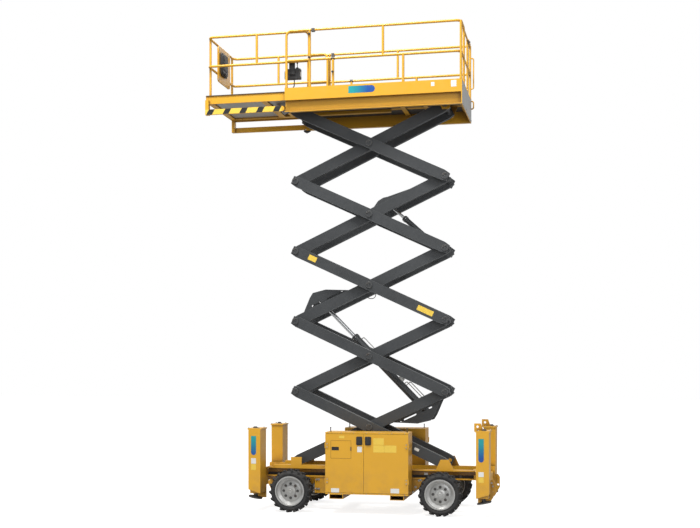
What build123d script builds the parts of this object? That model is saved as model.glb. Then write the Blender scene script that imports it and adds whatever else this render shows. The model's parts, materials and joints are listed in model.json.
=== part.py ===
from build123d import *
import os
from math import atan2, cos, degrees, radians, sin, sqrt

# Scissor lift on four wheels: five crossed arm stages carry a deck with a roll-out front.
# X points to the front (the end the deck rolls out to), Y to the machine's left, Z up.
# Heights are above the ground, and lengths along X are measured from scissor_x,
# the middle of the scissor stack at rest.  Millimetres and degrees throughout.

os.makedirs("parts", exist_ok=True)
SIDES = (("left", 1), ("right", -1))
ENDS = (("front", 1), ("rear", -1))

# ------------------------------------------------------------------ driving dimensions
stages = 5
arm_length = 2850            # between an arm's end pins
arm_angle = 25               # of each arm above level, at rest
arm_height = 180
arm_end = 55                 # of an arm past its end pins, cut square
arm_end_height = 140
arm_taper = 100              # from an arm's end to its full height
arm_width = 90
inner_arm_y = 270            # middle of an inner arm's width
arm_gap = 15                 # between an inner arm and the outer arm beside it
base_pin_z = 825             # lowest pins
pin_diameter = 60
pin_head_diameter = 110
pin_head = 14
pin_clearance = 0.5          # on the radius
pin_head_gap = 4             # between a pin's head and the arm under it
cross_tube_diameter = 70
roller_diameter = 120
roller_width = 66

rail_height = 160            # chassis side rails, channels open to the outside
rail_width = 115
rail_wall = 22
rail_inner_y = 335
rail_top_z = 725
rail_reach = 1790            # of the rails to front and rear
rail_cross_width = 80        # cross members at the rails' ends
side_plate_thickness = 20    # plates hung from the rails between the wheels
side_plate_y = 420
side_plate_low_z = 290
side_plate_rear_x = -935
side_plate_foot_x = -730
side_plate_front_x = 840
post_width = 100             # front post of a side plate
post_depth = 60
saddle_top = 320             # axle saddles under the rails, along X
saddle_foot = 190
roller_path_rear = -250
roller_path_front = 1680
keeper_front = 1360          # plates that keep the lower rollers down
keeper_rear = 1170
keeper_rise = 12
lug_plate = 25               # plates that carry the lowest and highest pins
end_beam_length = 150        # along X
end_beam_height = 170
end_beam_z = 560             # middle height
beam_end_length = 100        # taller ends of the beams, along Y
beam_end_low_z = 420
beam_end_top_z = 720

wheel_base_half = 1265
tyre_diameter = 720
tyre_width = 250
tyre_outer_y = 900
rim_diameter = 500
rim_wall = 8
bead_depth = 13              # of the tyre's beads behind its sides
sidewall_radius = 285
shoulder_radius = 302
shoulder_width = 33
lug_height = 26
lug_width = 34
lug_length = 116
lug_count = 18               # in each of two rows
lug_slant = 24

axle_tube_diameter = 130
kingpin_y = 560
kingpin_diameter = 44
spindle_diameter = 80
running_gap = 6              # between pieces that turn past each other

cabinet_height_low = 330
cabinet_height_top = 1360
cabinet_inner_y = 460
cabinet_outer_y = 880
cabinet_wall = 20
cabinet_lip = 22             # roof and sill that the doors stand between
cabinet_left_front = 653
cabinet_left_rear = 745
cabinet_right_front = 610
cabinet_right_rear = 840
door_thickness = 25
door_gap = 5
hinge_diameter = 22
hinge_length = 90
hinge_inset = 150            # from a door's lower and upper edge
grip_rear_x = 420            # sunk grip in the front door of the left side
grip_length = 125
grip_low_z = 1057
grip_height = 60
grip_depth = 14
engine_rear = 400            # engine block in the right cabinet
engine_front = 250
engine_top_z = 950
engine_inset = 60

pocket_height = 80           # fork pockets, outside
pocket_width = 230
pocket_wall = 8
pocket_front_x = 468
pocket_rear_x = -556

column_width = 210           # outrigger columns along X
column_depth = 350           # along Y
column_outer_y = 880
column_front_x = 1885
column_rear_x = -1958
column_top_z = 1385
column_bottom_z = 310
column_slant = 63            # rise of a column's lower edge towards its outer side
cap_thickness = 22
cap_overhang = 14
leg_size = 130
leg_gap = 6
leg_top_z = 1250
leg_bottom_z = 262
pad_diameter = 240
pad_thickness = 22
pad_neck_height = 60
pad_tilt = 11
pad_strut_diameter = 24
pad_strut_y = 48
collar_wall = 16             # guide collar round the leg under its column
ear_height = 138             # lifting ears on the rear columns
ear_thickness = 20
ear_overhang = 45
ear_hole_diameter = 40

deck_width = 1540
deck_rear = 1616
deck_front = 1386
deck_sheet = 25
track_height = 52            # roller tracks under the floor
roller_play = 1              # between a roller and its track
side_channel_height = 205
side_channel_wall = 10
side_channel_recess = 65
toe_board_height = 200
toe_board_thickness = 15
board_lip = 12
track_rear = 260             # ends of the roller tracks, to the rear and past the deck's front
track_overhang = 304
track_tie = 50               # members that tie the tracks in front of the deck, along X
extension_front = 2800
extension_rear = 960
extension_frame = 25         # depth of the extension's floor frame
extension_sheet = 10
extension_board = 16
extension_board_height = 150
slide_gap = 5                # under the extension's floor frame
lower_bar_height = 90
lower_bar_width = 38
lower_bar_drop = 167         # of the bar's middle below the main floor
rail_tube = 42
guard_height = 1135          # of the top rail's middle above the main floor
mid_guard_height = 635
rail_setback = 22            # of the guardrails' tubes from the deck's and the extension's edges
main_rail_y = deck_width / 2 - rail_setback
extension_rail_y = deck_width / 2 - side_channel_recess - rail_setback
rail_corner = 90             # bend radius of the guardrails
hoop_x = 952                 # posts of the main guardrail, along X
lower_post_front = 550
lower_post_rear = -640
upper_post_x = -300
upper_post_front = 1900      # of the extension's guardrail
gate_half = 300
gate_gap = 12
gate_tube = 30
gate_corner = 60
gate_lift = 195              # of the gate's lower bar above the main floor
gate_lug_lift = 260          # of its lower hinge lug above the main floor
gate_lug_drop = 130          # of its upper one below the top rail
grab_reach = 62              # grab handles at the rear right corner
grab_tube = 24
grab_corner = 30
board_grab = (20, 155)       # their lower and upper ends above the main floor
post_grab = (375, 915)
panel_low = 485              # front panel above the main floor
panel_height = 630
panel_right = 340
panel_left = 300
panel_thickness = 26
panel_corner = 60
console_rear = 1150          # control box on the extension's left guardrail
console_front = 1420
console_low = 360            # above the main floor
console_height = 168
console_depth = 100
console_gap = 43             # from the guardrail's middle to the box
mount_plate_reach = 180      # outrigger mount plates, past the column's middle
mount_plate_bevel = (30, 50)   # of its upper outer corner, along X and down
mount_plate_taper = (90, 220)  # of its lower one: along X, and its start below the top
mount_plate_top_z = 580
mount_plate_bottom_z = 200
mount_plate_thickness = 30
tie_hole_reach = 150
tie_hole_z = 400
tie_hole_diameter = 36

# ------------------------------------------------------------------ places worked out
outer_arm_y = inner_arm_y + arm_width + arm_gap
half_arm = arm_length / 2
half_span = half_arm * cos(radians(arm_angle))
stage_height = arm_length * sin(radians(arm_angle))
top_pin_z = base_pin_z + stages * stage_height
track_z = top_pin_z + roller_diameter / 2 + roller_play
floor_bottom_z = track_z + track_height
deck_top_z = floor_bottom_z + deck_sheet
top_rail_z = deck_top_z + guard_height
mid_rail_z = deck_top_z + mid_guard_height
lower_bar_z = deck_top_z - lower_bar_drop
board_top_z = floor_bottom_z + toe_board_height
wheel_z = tyre_diameter / 2
tyre_y = tyre_outer_y - tyre_width / 2
rear_end = -column_rear_x + mount_plate_reach
front_end = extension_front
scissor_x = (rear_end - front_end) / 2


def side_plane(y):
    """Upright plane along the machine at width y: its X runs forwards, its Y up."""
    return Plane((scissor_x, y, 0), x_dir=(1, 0, 0), z_dir=(0, -1, 0))


def cross_plane(x):
    """Upright plane across the machine at length x: its X runs to the left, its Y up."""
    return Plane((scissor_x + x, 0, 0), x_dir=(0, 1, 0), z_dir=(1, 0, 0))


def level_plane(z):
    """Level plane at height z, its X forwards and its Y to the left."""
    return Plane((scissor_x, 0, z))


def arm_plane(kind, stage, y):
    """Plane of an arm: X along it from its lower end to its upper one, Y square above it."""
    lean = -1 if kind == "inner" else 1
    middle = base_pin_z + (stage - 0.5) * stage_height
    along = (lean * cos(radians(arm_angle)), 0, sin(radians(arm_angle)))
    return Plane((scissor_x, y, middle), x_dir=along, z_dir=(0, -lean, 0))


def across(side, near, far):
    """Stations along Y at two distances from the middle, on one side of the machine."""
    return sorted((side * near, side * far))


def about(middle, half):
    """Stations at equal distances to both sides of a middle."""
    return (middle - half, middle + half)


def block(x, y, z, mode=Mode.ADD):
    """Box between two stations on each axis, each given as (low, high)."""
    with BuildSketch(level_plane(z[0])) as base:
        with Locations(((x[0] + x[1]) / 2, (y[0] + y[1]) / 2)):
            Rectangle(x[1] - x[0], y[1] - y[0])
    extrude(base.sketch, amount=z[1] - z[0], mode=mode)


def disc(plane, place, diameter, depth, mode=Mode.ADD):
    """Round bar from a plane, at a place in it, as deep as depth along its normal."""
    with BuildSketch(plane) as end_face:
        with Locations(place):
            Circle(diameter / 2)
    extrude(end_face.sketch, amount=depth, mode=mode)


def profile(plane, corners, depth, mode=Mode.ADD):
    """Flat plate with straight edges between corners given in its plane."""
    with BuildSketch(plane) as face:
        with BuildLine():
            Polyline(*corners, close=True)
        make_face()
    extrude(face.sketch, amount=depth, mode=mode)


def turned(plane, corners):
    """Solid of revolution about a plane's normal, from its (radius, height) corners."""
    section = Plane(plane.origin, x_dir=plane.x_dir, z_dir=-plane.y_dir)
    with BuildSketch(section) as half_section:
        with BuildLine():
            Polyline(*corners, close=True)
        make_face()
    revolve(half_section.sketch, axis=Axis(plane.origin, plane.z_dir))


def tube_run(points, radius, diameter):
    """Round tube along straight runs whose corners are rounded to one radius."""
    with BuildLine() as path:
        if len(points) > 2:
            FilletPolyline(*points, radius=radius)
        else:
            Line(*points)
    start = Plane(origin=path.line @ 0, z_dir=path.line % 0)
    with BuildSketch(start) as section:
        Circle(diameter / 2)
    sweep(section.sketch, path=path.line)


def grab_handle(root_x, low, high):
    """Handle behind the rear right corner, from its root's length and its ends' heights."""
    low_z, high_z = deck_top_z + low, deck_top_z + high
    grab_x = rear_post_x - grab_reach
    tube_run([(root_x, -main_rail_y, low_z), (grab_x, -main_rail_y, low_z),
              (grab_x, -main_rail_y, high_z), (root_x, -main_rail_y, high_z)], grab_corner, grab_tube)


# ------------------------------------------------------------------ scissor arms
# Cylinder brackets are triangles on an arm's edge, in arm coordinates (along, above).
bracket_plate = 16
bracket_y = inner_arm_y - arm_width / 2 - bracket_plate
bracket_foot_short = 330     # from the cylinder's pin to the near end of the plate
bracket_foot_long = 680
upper_foot_long = 860        # brackets of the upper cylinder on the fourth stage
upper_foot_short = 300
upper_peak = 50
bracket_peak = 85            # plate above the pin
bracket_shoulder = 230
lower_pin_along = half_arm - 445    # lower lift cylinder's pins, from the arm's middle
lower_pin_above = 250
upper_pin_along = 314        # upper lift cylinder's rod pin
upper_pin_above = 130
upper_base_along = half_arm - 90
lift_pin_diameter = 50
boss_diameter = 96
boss_length = 22
lower_eye_width = 90
upper_eye_width = 70
eye_gap = 6                  # from an eye to what stands beside it
slot_height = 32
slot_above = 130

# cross tubes of each inner arm, by their place along it
cross_tubes = {
    1: (-half_arm, 200),
    2: (-half_arm, half_arm),
    3: (-half_arm, 500),
    4: (-half_arm, half_arm),
    5: (-half_arm, half_arm),
}


def arm_outline():
    """Corners of an arm's side, square at its ends and tapered up to its full height."""
    end, low = half_arm + arm_end, arm_end_height / 2
    full, high = end - arm_taper, arm_height / 2
    upper = [(-end, low), (-full, high), (full, high), (end, low)]
    return upper + [(a, -b) for a, b in reversed(upper)]


def bracket(stage, along, above, foot_near, foot_far, peak, slots):
    """Pair of cylinder plates standing on an inner arm's inner faces."""
    up = 1 if above > 0 else -1
    out = 1 if along > 0 else -1
    edge = up * (arm_height / 2 - 30)
    for _, side in SIDES:
        lean_y = side * (bracket_y + bracket_plate / 2)
        with BuildSketch(arm_plane("inner", stage, lean_y)) as plate:
            with BuildLine():
                Polyline(
                    (along + out * foot_near, edge),
                    (along + out * bracket_peak, above + up * 30),
                    (along, above + up * peak),
                    (along - out * bracket_shoulder * foot_far / bracket_foot_long, above + up * 40),
                    (along - out * foot_far, edge),
                    close=True,
                )
            make_face()
            for centre, length in slots:
                with Locations((along + out * centre, up * slot_above)):
                    SlotOverall(length, slot_height, mode=Mode.SUBTRACT)
        extrude(plate.sketch, amount=bracket_plate / 2, both=True)


def half_shafts(stage, along, above, eye_width):
    """Short shafts from both plates up to a rod's eye, which stays free of them."""
    reach = bracket_y - eye_width / 2 - eye_gap
    for _, side in SIDES:
        start = arm_plane("inner", stage, side * bracket_y)
        disc(start, (along, above), lift_pin_diameter, -side * reach)
        disc(start, (along, above), boss_diameter, -side * boss_length)


for stage in range(1, stages + 1):
    with BuildPart() as inner_arm:
        for _, side in SIDES:
            with BuildSketch(arm_plane("inner", stage, side * inner_arm_y)):
                with BuildLine():
                    Polyline(*arm_outline(), close=True)
                make_face()
            extrude(amount=arm_width / 2, both=True)
            outer_face = arm_plane("inner", stage, side * (inner_arm_y + arm_width / 2))
            head_face = arm_plane("inner", stage, side * (outer_arm_y + arm_width / 2 + pin_head_gap))
            for place in (-half_arm, 0, half_arm):
                first_roller = stage == 1 and place == -half_arm
                shaft = roller_width + arm_gap if first_roller else arm_width + arm_gap + pin_head_gap
                disc(outer_face, (place, 0), pin_diameter, side * shaft)
                if first_roller:
                    roller_face = arm_plane("inner", stage, side * (outer_arm_y - arm_width / 2))
                    disc(roller_face, (place, 0), roller_diameter, side * roller_width)
                else:
                    disc(head_face, (place, 0), pin_head_diameter, side * pin_head)
        with BuildSketch(arm_plane("inner", stage, 0)):
            for place in cross_tubes[stage]:
                with Locations((place, 0)):
                    Circle(cross_tube_diameter / 2)
        extrude(amount=inner_arm_y, both=True)
        if stage == 1:
            bracket(1, lower_pin_along, -lower_pin_above, bracket_foot_short, bracket_foot_long,
                    bracket_peak, ((20, 190), (-335, 310)))
            with BuildSketch(arm_plane("inner", 1, 0)):
                with Locations((lower_pin_along, -lower_pin_above)):
                    Circle(lift_pin_diameter / 2)
            extrude(amount=bracket_y + bracket_plate / 2, both=True)
        if stage == 3:
            bracket(3, -lower_pin_along, lower_pin_above, bracket_foot_short, bracket_foot_long,
                    bracket_peak, ((20, 190), (-335, 310)))
            half_shafts(3, -lower_pin_along, lower_pin_above, lower_eye_width)
            with BuildSketch(arm_plane("inner", 3, 0)):
                with Locations((upper_base_along, 0)):
                    Circle(lift_pin_diameter / 2)
            extrude(amount=inner_arm_y - arm_width / 2 + 1, both=True)
        if stage == 4:
            bracket(4, upper_pin_along, upper_pin_above, upper_foot_long, upper_foot_short, upper_peak, ())
            half_shafts(4, upper_pin_along, upper_pin_above, upper_eye_width)
    inner_arm.part.label = f"inner_arm_{stage}"
    export_step(inner_arm.part, f"parts/inner_arm_{stage}.step")

for stage in range(1, stages + 1):
    with BuildPart() as outer_arm:
        for _, side in SIDES:
            with BuildSketch(arm_plane("outer", stage, side * outer_arm_y)):
                with BuildLine():
                    Polyline(*arm_outline(), close=True)
                make_face()
                for place in (-half_arm, 0, half_arm):
                    if stage < stages or place < half_arm:
                        with Locations((place, 0)):
                            Circle(pin_diameter / 2 + pin_clearance, mode=Mode.SUBTRACT)
            extrude(amount=arm_width / 2, both=True)
            if stage == stages:
                inner_face = arm_plane("outer", stage, side * (outer_arm_y - arm_width / 2))
                disc(inner_face, (half_arm, 0), pin_diameter, side * (arm_gap + roller_width))
                roller_start = arm_plane("outer", stage, side * (inner_arm_y + arm_width / 2))
                disc(roller_start, (half_arm, 0), roller_diameter, side * roller_width)
    outer_arm.part.label = f"outer_arm_{stage}"
    export_step(outer_arm.part, f"parts/outer_arm_{stage}.step")

# ------------------------------------------------------------------ lift cylinders
# name, arm and place of the barrel's pin, arm and place of the rod's pin, barrel and rod
# length as shares of the distance between the pins, barrel diameter, rod diameter, eye width
lift_cylinders = (
    ("lower", (1, lower_pin_along, -lower_pin_above), (3, -lower_pin_along, lower_pin_above),
     0.668, 0.752, 125, 66, lower_eye_width),
    ("upper", (3, upper_base_along, 0), (4, upper_pin_along, upper_pin_above),
     0.683, 0.736, 90, 50, upper_eye_width),
)
eye_wall = 28
gland_length = 60
gland_wall = 7
port_size = 34               # blocks that the hard line along a barrel ends in
line_diameter = 16
for name, base, tip, barrel_share, rod_share, barrel_size, rod_size, eye_width in lift_cylinders:
    start = arm_plane("inner", base[0], 0).from_local_coords(Vector(base[1], base[2], 0))
    end = arm_plane("inner", tip[0], 0).from_local_coords(Vector(tip[1], tip[2], 0))
    reach = end - start
    barrel_length = reach.length * barrel_share
    eye_diameter = lift_pin_diameter + 2 * eye_wall
    along = Plane(start, x_dir=(0, 1, 0), z_dir=reach)
    base_eye = Plane(start - Vector(0, eye_width / 2, 0), x_dir=(1, 0, 0), z_dir=(0, 1, 0))
    with BuildPart() as barrel:
        disc(along, (0, 0), barrel_size, barrel_length)
        disc(along.offset(barrel_length - gland_length), (0, 0), barrel_size + 2 * gland_wall, gland_length)
        line_y = barrel_size / 2 + port_size / 2
        ports = (eye_diameter / 2 + port_size, barrel_length - gland_length - port_size)
        for port in ports:
            with BuildSketch(along.offset(port)) as port_face:
                with Locations(((line_y + port_size / 2) / 2, 0)):
                    Rectangle(line_y + port_size / 2, port_size)
            extrude(port_face.sketch, amount=port_size)
        disc(along.offset(ports[0]), (line_y, 0), line_diameter, ports[1] - ports[0])
        disc(base_eye, (0, 0), eye_diameter, eye_width)
        disc(base_eye.offset(-barrel_size), (0, 0), lift_pin_diameter + 2 * pin_clearance,
             eye_width + 2 * barrel_size, Mode.SUBTRACT)
        disc(along.offset(eye_diameter / 2), (0, 0), rod_size + 2 * pin_clearance, barrel_length,
             Mode.SUBTRACT)
    barrel.part.label = f"{name}_cylinder_barrel"
    export_step(barrel.part, f"parts/{name}_cylinder_barrel.step")
    rod_eye = Plane(end - Vector(0, eye_width / 2, 0), x_dir=(1, 0, 0), z_dir=(0, 1, 0))
    with BuildPart() as rod:
        disc(Plane(end, x_dir=(0, 1, 0), z_dir=-reach), (0, 0), rod_size, reach.length * rod_share)
        disc(rod_eye, (0, 0), eye_diameter, eye_width)
        disc(rod_eye, (0, 0), lift_pin_diameter + 2 * pin_clearance, eye_width, Mode.SUBTRACT)
    rod.part.label = f"{name}_cylinder_rod"
    export_step(rod.part, f"parts/{name}_cylinder_rod.step")

# ------------------------------------------------------------------ chassis
rail_outer_y = rail_inner_y + rail_width
rail_bottom_z = rail_top_z - rail_height
roller_path = base_pin_z - roller_diameter / 2 - roller_play - rail_top_z
column_inner_y = column_outer_y - column_depth
beam_half_y = column_inner_y - mount_plate_thickness
beam_top_z = end_beam_z + end_beam_height / 2
with BuildPart() as chassis:
    for _, side in SIDES:
        # a rail: web at its inner side, flanges to the outside
        web_y = across(side, rail_inner_y, rail_inner_y + rail_wall)
        rail_y = across(side, rail_inner_y, rail_outer_y)
        block((-rail_reach, rail_reach), web_y, (rail_bottom_z, rail_top_z))
        for flange_z in (rail_bottom_z, rail_top_z - rail_wall):
            block((-rail_reach, rail_reach), rail_y, (flange_z, flange_z + rail_wall))
        block((roller_path_rear, roller_path_front), rail_y, (rail_top_z, rail_top_z + roller_path))
        keeper_y = across(side, rail_outer_y - side_plate_thickness, rail_outer_y)
        keeper_top_z = base_pin_z + roller_diameter / 2 + keeper_rise
        block((keeper_rear, keeper_front), keeper_y, (rail_top_z, keeper_top_z))
        # lug and pin of the lowest fixed pivot
        lug_y = side * (outer_arm_y + arm_width / 2 + pin_head_gap)
        profile(side_plane(lug_y),
                [(-half_span - 150, rail_top_z - 5), (-half_span - 70, base_pin_z + 70),
                 (-half_span + 70, base_pin_z + 70), (-half_span + 150, rail_top_z - 5)],
                -side * lug_plate)
        pin_start = side_plane(side * (outer_arm_y + arm_width / 2 + pin_head_gap + 1))
        disc(pin_start, (-half_span, base_pin_z), pin_diameter, side * (arm_width + 2 * pin_head_gap))
        # plate between the wheels, cut out for the fork pockets, with its front post
        profile(side_plane(side * side_plate_y),
                [(side_plate_rear_x, rail_bottom_z + 1), (side_plate_rear_x, rail_bottom_z - 20),
                 (side_plate_foot_x, side_plate_low_z), (side_plate_front_x, side_plate_low_z),
                 (side_plate_front_x, rail_bottom_z + 1)],
                -side * side_plate_thickness)
        for middle in (pocket_front_x, pocket_rear_x):
            notch = pocket_width / 2 + 2
            block((middle - notch, middle + notch),
                  across(side, side_plate_y - 1, side_plate_y + side_plate_thickness + 1),
                  (side_plate_low_z - 1, cabinet_height_low + 2), mode=Mode.SUBTRACT)
        post_y = side_plate_y + side_plate_thickness
        block((side_plate_front_x - 1, side_plate_front_x + post_width),
              across(side, post_y - post_depth, post_y), (side_plate_low_z, rail_bottom_z + 1))
        # saddles that the axles hang in, and the rails' ends up to the end beams
        for _, end in ENDS:
            axle_x = end * wheel_base_half
            profile(side_plane(side * (rail_inner_y + rail_wall / 2)),
                    [(axle_x - saddle_top / 2, rail_bottom_z + 1), (axle_x - saddle_foot / 2, wheel_z),
                     (axle_x + saddle_foot / 2, wheel_z), (axle_x + saddle_top / 2, rail_bottom_z + 1)],
                    -side * (rail_width - rail_wall))
            beam_x = column_front_x if end > 0 else column_rear_x
            span = sorted((end * (rail_reach - 10), beam_x - end * (end_beam_length / 2 - 10)))
            block(span, rail_y, (rail_bottom_z, beam_top_z))
            block((beam_x - column_width / 2, beam_x + column_width / 2),
                  across(side, beam_half_y - beam_end_length, beam_half_y),
                  (beam_end_low_z, beam_end_top_z))
    for beam_x, end in ((column_front_x, 1), (column_rear_x, -1)):
        block((beam_x - end_beam_length / 2, beam_x + end_beam_length / 2), (-beam_half_y, beam_half_y),
              (end_beam_z - end_beam_height / 2, beam_top_z))
        cross_x = sorted((end * (rail_reach - rail_cross_width), end * rail_reach))
        block(cross_x, (-rail_inner_y - 1, rail_inner_y + 1), (rail_bottom_z, rail_top_z - 40))
    for _, end in ENDS:
        disc(side_plane(rail_outer_y), (end * wheel_base_half, wheel_z), axle_tube_diameter,
             2 * rail_outer_y, Mode.SUBTRACT)
chassis.part.label = "chassis_frame"
export_step(chassis.part, "parts/chassis_frame.step")

with BuildPart() as pockets:
    for middle in (pocket_front_x, pocket_rear_x):
        with BuildSketch(side_plane(0)):
            with Locations((middle, cabinet_height_low - pocket_height / 2)):
                Rectangle(pocket_width, pocket_height)
                Rectangle(pocket_width - 2 * pocket_wall, pocket_height - 2 * pocket_wall,
                          mode=Mode.SUBTRACT)
        extrude(amount=cabinet_outer_y, both=True)
pockets.part.label = "fork_pockets"
export_step(pockets.part, "parts/fork_pockets.step")

# plates between the beams' ends and the outrigger columns, with tie-down holes
with BuildPart() as eyes:
    for _, side in SIDES:
        for column_x, end in ((column_front_x, 1), (column_rear_x, -1)):
            with BuildSketch(side_plane(side * column_inner_y)) as plate:
                with BuildLine():
                    Polyline(
                        (column_x - end * column_width / 2, mount_plate_top_z),
                        (column_x + end * (mount_plate_reach - mount_plate_bevel[0]), mount_plate_top_z),
                        (column_x + end * mount_plate_reach, mount_plate_top_z - mount_plate_bevel[1]),
                        (column_x + end * mount_plate_reach, mount_plate_top_z - mount_plate_taper[1]),
                        (column_x + end * (mount_plate_reach - mount_plate_taper[0]), mount_plate_bottom_z),
                        (column_x - end * column_width / 2, mount_plate_bottom_z),
                        close=True,
                    )
                make_face()
                with Locations((column_x + end * tie_hole_reach, tie_hole_z)):
                    Circle(tie_hole_diameter / 2, mode=Mode.SUBTRACT)
            extrude(plate.sketch, amount=side * mount_plate_thickness)
eyes.part.label = "tie_down_eyes"
export_step(eyes.part, "parts/tie_down_eyes.step")

# ------------------------------------------------------------------ cabinets and doors
cabinets = (
    ("left", 1, cabinet_left_rear, cabinet_left_front),
    ("right", -1, cabinet_right_rear, cabinet_right_front),
)
door_low_z = cabinet_height_low + cabinet_lip + door_gap
door_top_z = cabinet_height_top - cabinet_lip - door_gap
for name, side, rear, front in cabinets:
    frame_y = cabinet_outer_y - door_thickness - 1
    with BuildPart() as cabinet:
        block((-rear, front), across(side, cabinet_inner_y, frame_y),
              (cabinet_height_low, cabinet_height_top))
        block((-rear + cabinet_wall, front - cabinet_wall),
              across(side, cabinet_inner_y + cabinet_wall, frame_y + 1),
              (cabinet_height_low + cabinet_wall, cabinet_height_top - cabinet_wall), mode=Mode.SUBTRACT)
        for lip_z in (cabinet_height_low, cabinet_height_top - cabinet_lip):
            block((-rear, front), across(side, frame_y - 1, cabinet_outer_y),
                  (lip_z, lip_z + cabinet_lip))
    cabinet.part.label = f"cabinet_{name}"
    export_step(cabinet.part, f"parts/cabinet_{name}.step")
    split = (front - rear) / 2 if side < 0 else 0
    leaves = (("front", split + door_gap / 2, front), ("rear", -rear, split - door_gap / 2))
    for leaf, low_x, high_x in leaves:
        with BuildPart() as door:
            block((low_x, high_x), across(side, cabinet_outer_y - door_thickness, cabinet_outer_y),
                  (door_low_z, door_top_z))
            hinge_x = low_x if leaf == "rear" else high_x
            for barrel_z in (door_low_z + hinge_inset, door_top_z - hinge_inset - hinge_length):
                disc(level_plane(barrel_z), (hinge_x, side * cabinet_outer_y), hinge_diameter, hinge_length)
            if name == "left" and leaf == "front":
                block((grip_rear_x, grip_rear_x + grip_length),
                      (cabinet_outer_y - grip_depth, cabinet_outer_y + 1),
                      (grip_low_z, grip_low_z + grip_height), mode=Mode.SUBTRACT)
        door.part.label = f"door_{name}_{leaf}"
        export_step(door.part, f"parts/door_{name}_{leaf}.step")

with BuildPart() as engine:
    block((-engine_rear, engine_front),
          (-cabinet_outer_y + door_thickness + engine_inset, -cabinet_inner_y - engine_inset),
          (cabinet_height_low + cabinet_wall, engine_top_z))
engine.part.label = "engine_block"
export_step(engine.part, "parts/engine_block.step")

# ------------------------------------------------------------------ axles, knuckles and wheels
yoke_height = 240
yoke_ear = 30
yoke_width = 110
yoke_inner_y = kingpin_y - 70
knuckle_height = yoke_height - 2 * yoke_ear - 2 * running_gap
spindle_end_y = tyre_outer_y - 60
bowl_radius = 130            # housing of the drive in the middle of each axle
bowl_half = 80               # its width to each side, and with its cones
bowl_reach = 190
bowl_bevel = 24
flange_diameter = 190
flange_thickness = 30
for end_name, end in ENDS:
    axle_x = end * wheel_base_half
    with BuildPart() as axle:
        with BuildSketch(side_plane(0)):
            with Locations((axle_x, wheel_z)):
                Circle(axle_tube_diameter / 2)
        extrude(amount=yoke_inner_y - 20 if end > 0 else kingpin_y, both=True)
        centre = Plane((scissor_x + axle_x, 0, wheel_z), x_dir=(1, 0, 0), z_dir=(0, 1, 0))
        turned(centre, [(0, -bowl_reach), (axle_tube_diameter / 2, -bowl_reach),
                        (bowl_radius - bowl_bevel, -bowl_half), (bowl_radius, -bowl_half + bowl_bevel),
                        (bowl_radius, bowl_half - bowl_bevel), (bowl_radius - bowl_bevel, bowl_half),
                        (axle_tube_diameter / 2, bowl_reach), (0, bowl_reach)])
        for _, side in SIDES:
            if end > 0:
                block((axle_x - yoke_width / 2, axle_x + yoke_width / 2),
                      across(side, yoke_inner_y - 30, yoke_inner_y + 5),
                      (wheel_z - yoke_height / 2, wheel_z + yoke_height / 2))
                for ear_z in (wheel_z - yoke_height / 2, wheel_z + yoke_height / 2 - yoke_ear):
                    with BuildSketch(level_plane(ear_z)):
                        with Locations((axle_x, side * (kingpin_y + yoke_inner_y - 30) / 2)):
                            Rectangle(yoke_width, kingpin_y - yoke_inner_y + 30)
                        with Locations((axle_x, side * kingpin_y)):
                            Circle(yoke_width / 2)
                            Circle(kingpin_diameter / 2 + pin_clearance, mode=Mode.SUBTRACT)
                    extrude(amount=yoke_ear)
            else:
                disc(side_plane(side * kingpin_y), (axle_x, wheel_z), flange_diameter,
                     -side * flange_thickness)
                disc(side_plane(side * kingpin_y), (axle_x, wheel_z), spindle_diameter,
                     -side * (spindle_end_y - kingpin_y))
    axle.part.label = f"{end_name}_axle"
    export_step(axle.part, f"parts/{end_name}_axle.step")

for name, side in SIDES:
    axle_x = wheel_base_half
    with BuildPart() as knuckle:
        with BuildSketch(level_plane(wheel_z - knuckle_height / 2)):
            with Locations((axle_x, side * kingpin_y)):
                Circle(yoke_width / 2 - 8)
        extrude(amount=knuckle_height)
        with BuildSketch(level_plane(wheel_z - yoke_height / 2 - 6)):
            with Locations((axle_x, side * kingpin_y)):
                Circle(kingpin_diameter / 2)
        extrude(amount=yoke_height + 12)
        disc(side_plane(side * kingpin_y), (axle_x, wheel_z), spindle_diameter,
             -side * (spindle_end_y - kingpin_y))
    knuckle.part.label = f"knuckle_{name}"
    export_step(knuckle.part, f"parts/knuckle_{name}.step")

hub_radius = 75
hub_length = 115
hub_cap = 10
lip_width = 18               # rim's lip, and its depth down to the dish
lip_depth = 61
groove_radius = 182          # lowest ring of the dish, and its place across the wheel
groove_y = 38
ring_radius = 150            # raised ring that the bolts pass
ring_y = 50
dish_thickness = 14
dish_hole_circle = 120
dish_hole_diameter = 20
dish_holes = 8
bore_radius = spindle_diameter / 2 + pin_clearance
half_width = tyre_width / 2
bead_radius = rim_diameter / 2
tread_radius = tyre_diameter / 2 - lug_height
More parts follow.
